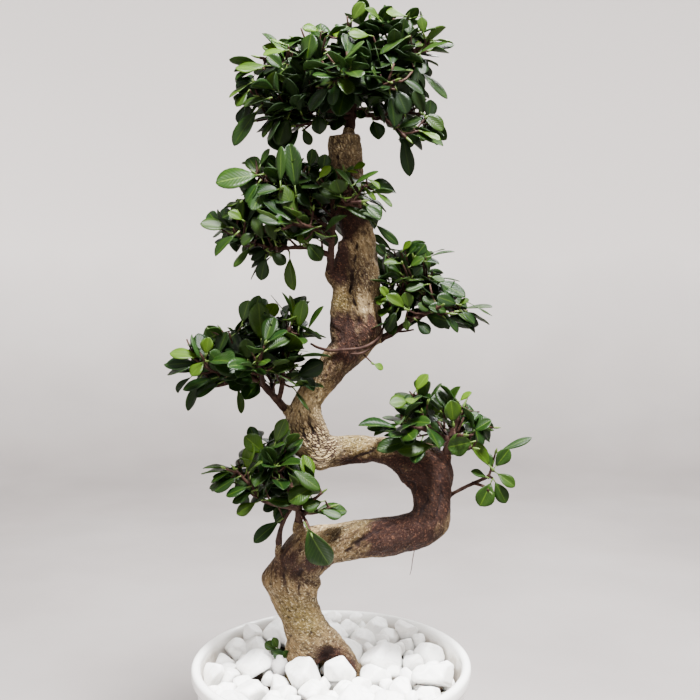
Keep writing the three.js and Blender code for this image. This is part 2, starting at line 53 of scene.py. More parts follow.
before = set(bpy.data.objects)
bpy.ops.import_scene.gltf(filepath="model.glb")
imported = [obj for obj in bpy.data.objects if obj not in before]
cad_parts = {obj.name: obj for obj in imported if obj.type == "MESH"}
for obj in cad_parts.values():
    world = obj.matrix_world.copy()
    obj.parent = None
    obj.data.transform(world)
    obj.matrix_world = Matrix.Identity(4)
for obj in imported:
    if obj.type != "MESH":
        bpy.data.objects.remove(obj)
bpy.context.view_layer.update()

MM = 0.001                # metres in a millimetre
GOLDEN_ANGLE = 2.399963
CURVE_STEPS = 200         # in which the length of a curve is measured
NUDGE = 0.0001            # to either side along a curve, which gives its direction

# The stage, in metres
SWEEP_START = 2.3         # from the middle of the floor to where it sweeps up
SWEEP_RADIUS = 1.1
SWEEP_HEIGHT = 2.6
LIGHT_AIM = Vector((0, 0, 0.55))
LIGHTS = [                # name, place, size, watts
    ("key_softbox", (0.4, -0.8, 2.6), 0.6, 470),
    ("fill_softbox", (-1.5, -1.5, 1.0), 1.2, 14),
    ("back_softbox", (0.7, 1.3, 2.3), 1, 90),
]
# The camera, in millimetres and degrees
EYE = [21.3, -1018.6, 664.9]
CAMERA_TILT = 3.33        # down from level
SENSOR = 36
FOCAL_LENGTH = SENSOR * 900 / 700     # 900 pixels in a frame of 700

# The pot, from the solid and in millimetres
POT_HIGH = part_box("pot")[1] / MM
POT_HEIGHT = POT_HIGH.z
RIM_RADIUS = POT_HIGH.x
BASE_RADIUS = 0.8 * RIM_RADIUS
BASE_CHAMFER = 4
WALL = 5
MID_WALL = 150            # height of a loop in the inner wall
LIP_HEIGHT = 16
LIP_OVERHANG = 5          # and the radius of the lip's bead
BEAD_STEPS = 12
FLOOR_THICKNESS = 9
FLOOR_ROUNDING = 4
WALL_FACETS = 32          # of the solid pot, whose flat facets the pebbles keep off

# The bed
SOIL_LEVEL = 204
SOIL_SLOPE = 0.2          # rise of the soil in the back half
SOIL_CELLS = 110
CRUMB_SIZE, CRUMB_HEIGHT, CRUMB_SINK = 7, 1.6, 1.2
BED_TOP = 256             # that the filling pebbles stay below
CLEARANCE = 0.35
ROOT_MARGIN = 0.5
PEBBLE_LIFT = 16
PEBBLE_FLATNESS = 0.76
FILL_SIZES = [21, 19, 16]
FILL_SPOTS = 320
FILL_CROWDING = 0.9
STONE_SIDES = 7           # that a stone was broken to
STONE_CUTS = 0.64, 0.42   # the deepest of them, as a share of its reach, and how much they vary
SHARPNESS = 36            # of the edges between them
PEBBLE_SEED, STONE_SEED, CHIP_SEED = 4021, 77, 913

# Small pebbles: low ones fill the bed's gaps, and then those along the wall
CHIP_PASSES = [(19, 0.5), (15, 0.5), (11, 0.5), (7, 0.5), (7, 0.12), (5, 0.12)]  # lift, spread
CHIP_TRIES = 640
CHIP_SIZES = 16, 25
CHIP_STEEPNESS = 2.4      # the widest, for its lift over the soil
LOW_CHIP = 12             # below which a small pebble has few faces
CHIP_DARKNESS = 1.6       # of the one dark pebble

# The leaves
LEAF_ARCH = 0.14          # sag of the tip, as a share of the length
FEWEST_LEAVES = 4
FIRST_SPREAD = 72         # degrees from the twig to its first leaf
LAST_SPREAD = 28          # and to the leaf at its tip
SPREAD_RANGE = 16
LEAF_SAG = 0.15
LEAF_STEPS = 40
LEAF_ROOM = 13
LEAF_PROBES = [0.35, 0.6, 0.9]
WOOD_PROBES = [0.45, 0.75, 1]
LEAF_CLEARANCE = 7
TIP_RADIUS = 1.6
STALK = 0.17              # the stalk's share of a leaf
BLADE_ACROSS, BLADE_ALONG = 4, 8
LEAF_SEED, FILL_SEED, PAD_SEED = 101, 501, 701

# The shoots that fill a pad, and their leaves
SHOOT_SPREAD = 50         # degrees from the branch
SHOOT_RANGE = 25
SHOOT_RADIUS = 1.5
FILL_ROOM = 0.34 * LEAF_ROOM
FILL_LENGTH = 0.88        # of a full-grown leaf
FILL_SPACING = 2.8
FILL_FEWEST = 8
FILL_CLEARANCE = 3
PAD_REACH = 23            # furthest tip from the leaves that the pad already has
COVER_DEPTH = 45          # how far in front a leaf may hide what should stay in sight
COVER_RADIUS = 8

# What paints shade on a leaf: the tips in a ball over it
SHADE_HEIGHT, SHADE_RADIUS, SHADE_GAP, FULL_SHADE = 24, 30, 6, 13

# The bark's hollows, whose dirt and painted shade are thickest at these depths, and the sawn top's
# dark core
FULL_DIP, FULL_FOLD = 3.2, 20
CORE_RADIUS = 8
FOLD_WAVE = 2.5           # how far the folds stray to and fro, and the seed of their waves
FOLD_SEED = 1

# Trunk from the roots to the sawn top, as [x, y, z, radius]
TRUNK = [
    [-10, 21, 241, 20], [-20, 22, 256, 25], [-32, 22, 277, 24], [-39, 20, 298, 23.5],
    [-44, 16, 318, 26], [-45, 14, 336, 28.5], [-42, 12, 352, 26], [-33, 8, 366, 24],
    [-17, 4, 376, 22], [4, 0, 383, 21.5], [26, -4, 388, 21.5], [55, -8, 393, 22],
    [80, -10, 397, 20.5], [101, -12, 405, 21], [112, -12, 422, 20.5], [112, -10, 443, 20.5],
    [107, -6, 461, 21.5], [94, -2, 477, 20], [74, 2, 487, 16], [47, 5, 492, 14.5],
    [24, 8, 490, 16.5], [3, 10, 488, 18], [-13, 10, 490, 20], [-24, 10, 503, 23.5],
    [-30, 8, 525, 21.5], [-26, 6, 548, 15.5], [-12, 5, 569, 15.5], [2, 4, 588, 17],
    [17, 4, 604, 20], [29, 5, 621, 22], [35, 5, 640, 20.5], [35, 6, 674, 20.5],
    [32, 6, 719, 19.5], [28, 6, 747, 17.5], [24, 7, 769, 17], [20, 8, 792, 18],
    [17, 8, 814, 19], [16, 8, 832, 18.5], [15, 8, 847, 17],
]
ROOTS = [
    [[-32, 22, 268, 19], [-38, 22, 246, 17], [-40, 22, 224, 15.5], [-40, 22, 130, 15.5]],
    [[-20, 20, 268, 20], [0, 20, 252, 18], [15, 21, 235, 15], [23, 22, 218, 12],
     [27, 22, 176, 9]],
    [[-28, 28, 268, 17], [-20, 44, 250, 14], [-14, 56, 226, 11], [-12, 60, 180, 8]],
]
STRANDS = [
    [[11, 2, 606, 9], [9, -3, 628, 10], [10, -4, 652, 10.5], [12, -4, 676, 11.5],
     [13, -3, 700, 10.5], [17, -1, 728, 9]],
    [[88, -22, 484, 3], [100, -27, 476, 3.6], [109, -30, 462, 4.2], [113, -31, 446, 4.2],
     [114, -31, 430, 4], [110, -31, 414, 3.6], [100, -31, 402, 2.8]],
    [[126, -24, 478, 3], [130, -25, 460, 3.6], [131, -24, 444, 3.6], [128, -25, 428, 3.2],
     [120, -28, 412, 2.6]],
    [[98, -22, 462, 3], [97, -25, 448, 3.4], [99, -27, 434, 3.2], [98, -28, 420, 2.4]],
    [[-22, -6, 362, 9], [2, -12, 378, 10], [28, -16, 394, 10], [56, -18, 400, 10],
     [84, -18, 402, 9]],
]
# Healed knots and old cuts, as [x, y, z, spread, height]; a negative height is a dimple
SWELLINGS = [
    [-74, 10, 340, 16, 8], [-12, 0, 352, 12, 6], [-14, 8, 330, 12, 6], [-2, 6, 288, 13, 6],
    [4, 8, 274, 10, 5], [-30, -4, 388, 20, 10], [-12, -6, 470, 12, 8], [-46, 6, 506, 16, 5],
    [112, -12, 486, 22, 12], [132, -12, 466, 16, 8], [82, -14, 468, 16, 6], [126, -18, 410, 16, 5],
    [50, -4, 626, 16, 5], [4, -4, 836, 12, 5], [-8, -16, 540, 14, 4], [60, -26, 396, 18, 4],
    [-60, 34, 330, 18, 6], [40, 26, 690, 18, 4], [120, 12, 440, 16, 5], [-4, 8, 286, 5, 3],
    [4, 10, 276, 5, 3], [10, 12, 267, 5, 3], [15, 10, 257, 5, 3], [20, 10, 247, 5, 2.5],
]
DIMPLES = [
    [-31, -8, 306, 5, -3], [-16, -4, 276, 5, -3], [29, -16, 638, 5, -6], [40, -16, 656, 4, -4],
    [104, -32, 418, 7, -4], [6, -10, 838, 4, -5], [18, -10, 822, 5, -4], [25, -6, 840, 4, -4],
    [10, -10, 806, 5, -3], [44, -12, 676, 4, -3], [44, -12, 708, 3.5, -3], [24, -15, 668, 4, -4],
    [98, -28, 452, 8, -4], [-40, -14, 352, 7, -4], [-24, -14, 512, 6, -3], [-8, 2, 246, 12, -8],
]
# Folds of the bark, as (half width, depth, points on the bark)
CREASES = [
    (2, 5, [[34, -10, 748], [30, -11, 728], [26, -12, 705], [22, -11, 674], [27, -14, 657],
            [29, -15, 638]]),
    (3.4, 4.5, [[9, -18, 371], [24, -25, 385], [39, -29, 397], [56, -26, 408], [77, -22, 414]]),
    (3, 2.6, [[-27, -18, 376], [-33, -13, 356], [-36, -12, 335], [-32, -10, 318]]),
    (3, 2.4, [[-56, -6, 372], [-54, -11, 350], [-50, -13, 328]]),
    (3, 3, [[-10, -21, 382], [-8, -14, 362], [-14, -2, 340]]),
    (2.4, 3.5, [[-51, 15, 258], [-48, 10, 270], [-44, -2, 284]]),
    (5, 8, [[0, 2, 262], [-4, 2, 250], [-6, 6, 236]]),
    (2.8, 4, [[6, -2, 474], [27, -6, 483], [39, -9, 490], [56, -9, 490]]),
    (2.8, 4, [[69, -13, 480], [77, -19, 472], [88, -22, 459], [97, -24, 445], [104, -29, 431]]),
    (2.6, 3.5, [[97, -24, 490], [107, -28, 474], [110, -30, 452], [104, -29, 434],
                [95, -30, 414], [82, -31, 405]]),
    (2.4, 3, [[118, -28, 478], [122, -28, 460], [122, -28, 440], [112, -32, 416],
              [96, -32, 400]]),
    (2.4, 3, [[-28, -11, 541], [-22, -12, 520], [-14, -10, 505], [-6, -6, 490]]),
    (2.2, 2.6, [[-36, -10, 530], [-30, -12, 510], [-22, -12, 493]]),
    (2.2, 2.6, [[-46, -8, 312], [-40, -10, 296], [-27, -3, 282], [-14, 2, 270]]),
    (2.2, 2.4, [[4, -10, 836], [8, -10, 812], [10, -10, 790]]),
]
# What the bark is like in places: "wine" is young bark and painted shade, "olive" is smooth and
# green brown,
# "pale" is corky, and "cracked" is split into small plates. Each is [x, y, z, spread, share].
BARK_ZONES = {
    "wine": [
        [112, -12, 436, 30, 1], [112, -8, 470, 30, 1], [84, -6, 478, 18, 0.9],
        [-4, 6, 244, 17, 1], [20, 10, 236, 12, 0.7], [-40, 4, 366, 24, 1],
        [-68, 12, 344, 15, 0.6], [-14, -8, 372, 14, 0.8], [20, -10, 606, 18, 0.7],
        [44, -8, 634, 16, 0.7], [10, -8, 638, 14, 0.8], [28, -10, 756, 18, 0.7],
        [20, 4, 796, 30, 0.35], [0, 0, 584, 20, 0.5], [95, -14, 398, 26, 0.8],
        [62, -22, 400, 22, 0.8], [60, -26, 384, 14, 0.4], [20, -4, 474, 14, 0.8],
        [46, -4, 476, 14, 0.8], [12, -10, 742, 14, 0.75], [10, -12, 714, 15, 0.75],
        [8, -12, 690, 12, 0.8], [24, -14, 624, 18, 0.3], [30, -16, 390, 24, 0.3],
    ],
    "olive": [
        [20, -4, 500, 26, 0.9], [-20, -6, 545, 18, 0.7], [34, -18, 408, 24, 0.6],
        [10, -12, 660, 15, 1], [-44, -8, 304, 24, 0.7],
        [-22, 0, 286, 18, 0.6], [4, -6, 590, 14, 0.5],
    ],
    "pale": [
        [38, -12, 690, 20, 0.3], [38, -10, 726, 20, 0.5], [38, -14, 656, 14, 0.5],
        [8, -6, 836, 24, 1], [-26, -10, 548, 12, 0.6], [-42, -8, 356, 6, 0.6],
        [-22, -12, 500, 26, 1], [-30, -10, 530, 20, 0.7], [-2, -10, 488, 16, 0.7],
        [34, -12, 612, 10, 0.5],
    ],
    "cracked": [
        [-24, -12, 512, 26, 1], [-4, -6, 490, 20, 1],
        [34, -12, 690, 24, 0.9], [8, -6, 836, 24, 0.9], [-40, -12, 350, 16, 0.6],
        [-10, -6, 262, 18, 0.5], [112, -24, 440, 20, 0.4],
    ],
}

# A leafy branch: its radius where it starts, the bare share of it, its route, and the seat inside
# the trunk where the stub of a main branch starts
Branch = namedtuple("Branch", "radius bare route seat", defaults=[None])
Ring = namedtuple("Ring", "centre tangent side other radius")
# A leaf's last field is the painted shade that its place far down in a pad gives it
Leaf = namedtuple("Leaf", "base along face length age width deep", defaults=[None, 0])
Pebble = namedtuple("Pebble", "centre width depth height turn")


def branch(radius, bare, *route, seat=None):
    return Branch(radius, bare, [Vector(p) for p in route], seat and Vector(seat))


PADS = {
    "leaves_crown": [
        branch(6.5, 0.6, [20, 8, 852], [24, 8, 872], [25, 6, 893], [22, 12, 926], [21, 8, 960],
               seat=[18, 8, 838]),
        branch(3.6, 0.3, [24, 8, 873], [-6, -12, 872], [-38, -25, 872], [-76, -38, 880]),
        branch(3.6, 0.3, [24, 6, 889], [-7, 0, 909], [-40, -8, 920], [-78, -14, 928]),
        branch(3.6, 0.3, [24, 6, 891], [46, 0, 914], [76, -10, 928], [106, -14, 941]),
        branch(3.4, 0.3, [25, 8, 870], [49, -18, 864], [67, -32, 852], [82, -42, 836]),
        branch(3.2, 0.3, [24, 6, 889], [17, 45, 913], [7, 82, 934]),
        branch(3.2, 0.3, [24, 6, 889], [21, -40, 895], [13, -76, 896]),
        branch(3.2, 0.3, [24, 6, 889], [51, 42, 910], [83, 66, 920]),
        branch(3.2, 0.3, [24, 6, 889], [-16, 38, 907], [-55, 62, 911]),
        branch(2.8, 0.3, [23, 8, 868], [-6, -15, 860], [-38, -34, 850]),
        branch(2.8, 0.4, [24, 8, 876], [-30, 6, 874], [-82, -12, 860]),
        branch(2.8, 0.4, [25, 8, 876], [60, 8, 876], [98, 2, 870]),
        branch(3, 0.3, [24, 6, 889], [45, -35, 888], [69, -60, 892]),
        branch(3, 0.3, [23, 10, 909], [-4, 22, 942], [-38, 26, 958]),
        branch(3, 0.3, [23, 10, 909], [50, 18, 944], [77, 16, 966]),
    ],
    "leaves_second": [
        branch(5, 0.55, [-1, -9, 694], [0, -14, 714], [2, -17, 733], [3, -17, 755],
               [-1, -15, 778], seat=[12, -3, 676]),
        branch(3, 0.3, [2, -16, 738], [-23, -22, 757], [-48, -28, 776], [-82, -30, 800]),
        branch(3.2, 0.25, [1, -12, 711], [-16, -22, 718], [-36, -28, 720], [-66, -30, 719],
               [-104, -32, 734]),
        branch(3, 0.3, [2, -16, 745], [-15, 12, 771], [-36, 28, 793], [-58, 38, 813]),
        branch(2.6, 0.3, [1, -15, 770], [17, -30, 779], [40, -36, 786]),
        branch(2.6, 0.3, [3, -17, 754], [15, -40, 765], [34, -52, 767]),
        branch(3, 0.3, [2, -16, 738], [-35, 6, 750], [-72, 14, 755], [-112, 10, 754]),
        branch(2.8, 0.3, [2, -16, 745], [-8, 34, 765], [-14, 68, 785]),
        branch(2.8, 0.3, [1, -15, 726], [-19, -48, 739], [-40, -68, 744]),
    ],
    "leaves_upper_right": [
        branch(4.6, 0.4, [57, 14, 618], [70, 18, 624], [84, 22, 633], [101, 22, 646],
               [123, 20, 652], [146, 16, 657], seat=[36, 8, 612]),
        branch(3.6, 0.35, [66, 17, 622], [70, 26, 649], [81, 32, 673], [89, 36, 692],
               [93, 38, 706]),
        branch(2.8, 0.3, [80, 31, 669], [102, 20, 679], [127, 14, 682]),
        branch(2.6, 0.4, [85, 34, 684], [76, 50, 702], [68, 60, 714]),
        branch(2.8, 0.3, [77, 30, 664], [91, 62, 676], [101, 84, 689]),
        branch(2.8, 0.3, [101, 22, 646], [114, -8, 650], [122, -28, 656]),
    ],
    "leaves_left": [
        branch(5, 0.3, [-52, 3, 538], [-65, -6, 554], [-76, -10, 567], [-91, -14, 576],
               [-106, -18, 580], [-130, -26, 584], [-150, -32, 598], seat=[-32, 7, 526]),
        branch(3.4, 0.3, [-60, -3, 547], [-55, -14, 565], [-53, -20, 584], [-52, -22, 608],
               [-44, -24, 634]),
        branch(2.8, 0.3, [-91, -14, 576], [-106, -10, 602], [-123, -10, 628]),
        branch(2.8, 0.3, [-76, -10, 567], [-81, 0, 594], [-80, 5, 630]),
        branch(2.8, 0.3, [-65, -6, 554], [-72, 30, 571], [-85, 62, 588]),
        branch(2.8, 0.3, [-76, -10, 567], [-76, -44, 584], [-77, -66, 597]),
        branch(2.8, 0.3, [-91, -14, 576], [-113, 22, 585], [-134, 46, 594]),
        branch(2.4, 0.3, [-101, -17, 579], [-114, -20, 570], [-130, -20, 566]),
    ],
    "leaves_right": [
        branch(5.4, 0.5, [130, -12, 489], [134, -14, 505], [141, -12, 523], [149, -8, 541],
               seat=[116, -10, 466]),
        branch(3.6, 0.3, [134, -14, 504], [111, -20, 516], [91, -24, 521], [69, -28, 518]),
        branch(3, 0.3, [112, -20, 516], [102, -14, 537], [98, -10, 556]),
        branch(3, 0.3, [138, -13, 514], [160, 2, 518], [186, 8, 516]),
        branch(3, 0.3, [133, -13, 500], [134, 30, 505], [130, 58, 513]),
        branch(2.8, 0.3, [135, -14, 508], [137, -44, 515], [144, -56, 517]),
        branch(2.6, 0.3, [133, -13, 500], [147, -30, 500], [156, -38, 500]),
    ],
    "leaves_right_sprig": [
        branch(2.4, 0.5, [137, -14, 444], [150, -18, 452], [166, -20, 460], [176, -22, 466],
               [180, -22, 478], seat=[116, -11, 436]),
        branch(1.9, 0.2, [160, -19, 457], [170, -26, 455], [176, -30, 450]),
    ],
    "leaves_lower_left": [
        branch(5.6, 0.5, [-37, -13, 410], [-36, -18, 424], [-38, -21, 440], [-44, -23, 459],
               seat=[-33, 0, 384]),
        branch(4, 1, [-60, -6, 384], [-58, -10, 400], [-52, -15, 416], [-40, -20, 434],
               seat=[-58, 8, 350]),
        branch(3.6, 0.3, [-36, -19, 428], [-59, -26, 434], [-77, -32, 442], [-90, -36, 459],
               [-104, -40, 476]),
        branch(3, 0.3, [-37, -20, 436], [-21, -34, 441], [-9, -44, 452]),
        branch(2.2, 0.4, [-36, -18, 426], [-28, -38, 420], [-22, -50, 410]),
        branch(3, 0.3, [-36, -18, 424], [-18, -28, 426], [0, -32, 433]),
        branch(3, 0.3, [-41, -22, 450], [-51, 14, 463], [-62, 40, 482]),
        branch(3, 0.3, [-41, -22, 450], [-61, -27, 471], [-80, -29, 489]),
        branch(3, 0.3, [-38, -21, 440], [-38, 18, 444], [-37, 48, 458]),
    ],
}

# Where more shoots fill a pad's outline, as the points they grow to
EXTRA_SHOOTS = {
    "leaves_crown": [
        [23, -10, 972], [44, 10, 976], [-5, -30, 945], [-96, -20, 884], [-98, -20, 856],
        [84, -14, 836], [106, -10, 858], [100, -10, 925],
    ],
    "leaves_second": [[-122, -30, 742], [-26, -40, 806], [-14, -34, 722], [-10, -44, 792]],
    "leaves_upper_right": [[68, 8, 660], [70, 4, 640], [82, 12, 690], [66, 0, 680]],
    "leaves_left": [
        [-88, -20, 640], [-40, -24, 640], [-40, -24, 590], [-42, -24, 566], [-146, -36, 572],
        [-64, -28, 620],
    ],
    "leaves_right": [[78, -32, 532], [168, -6, 536]],
    "leaves_right_sprig": [],
    "leaves_lower_left": [
        [-80, -24, 496], [-112, -40, 466], [-66, -38, 426], [-78, -36, 436], [-60, -42, 480],
    ],
}
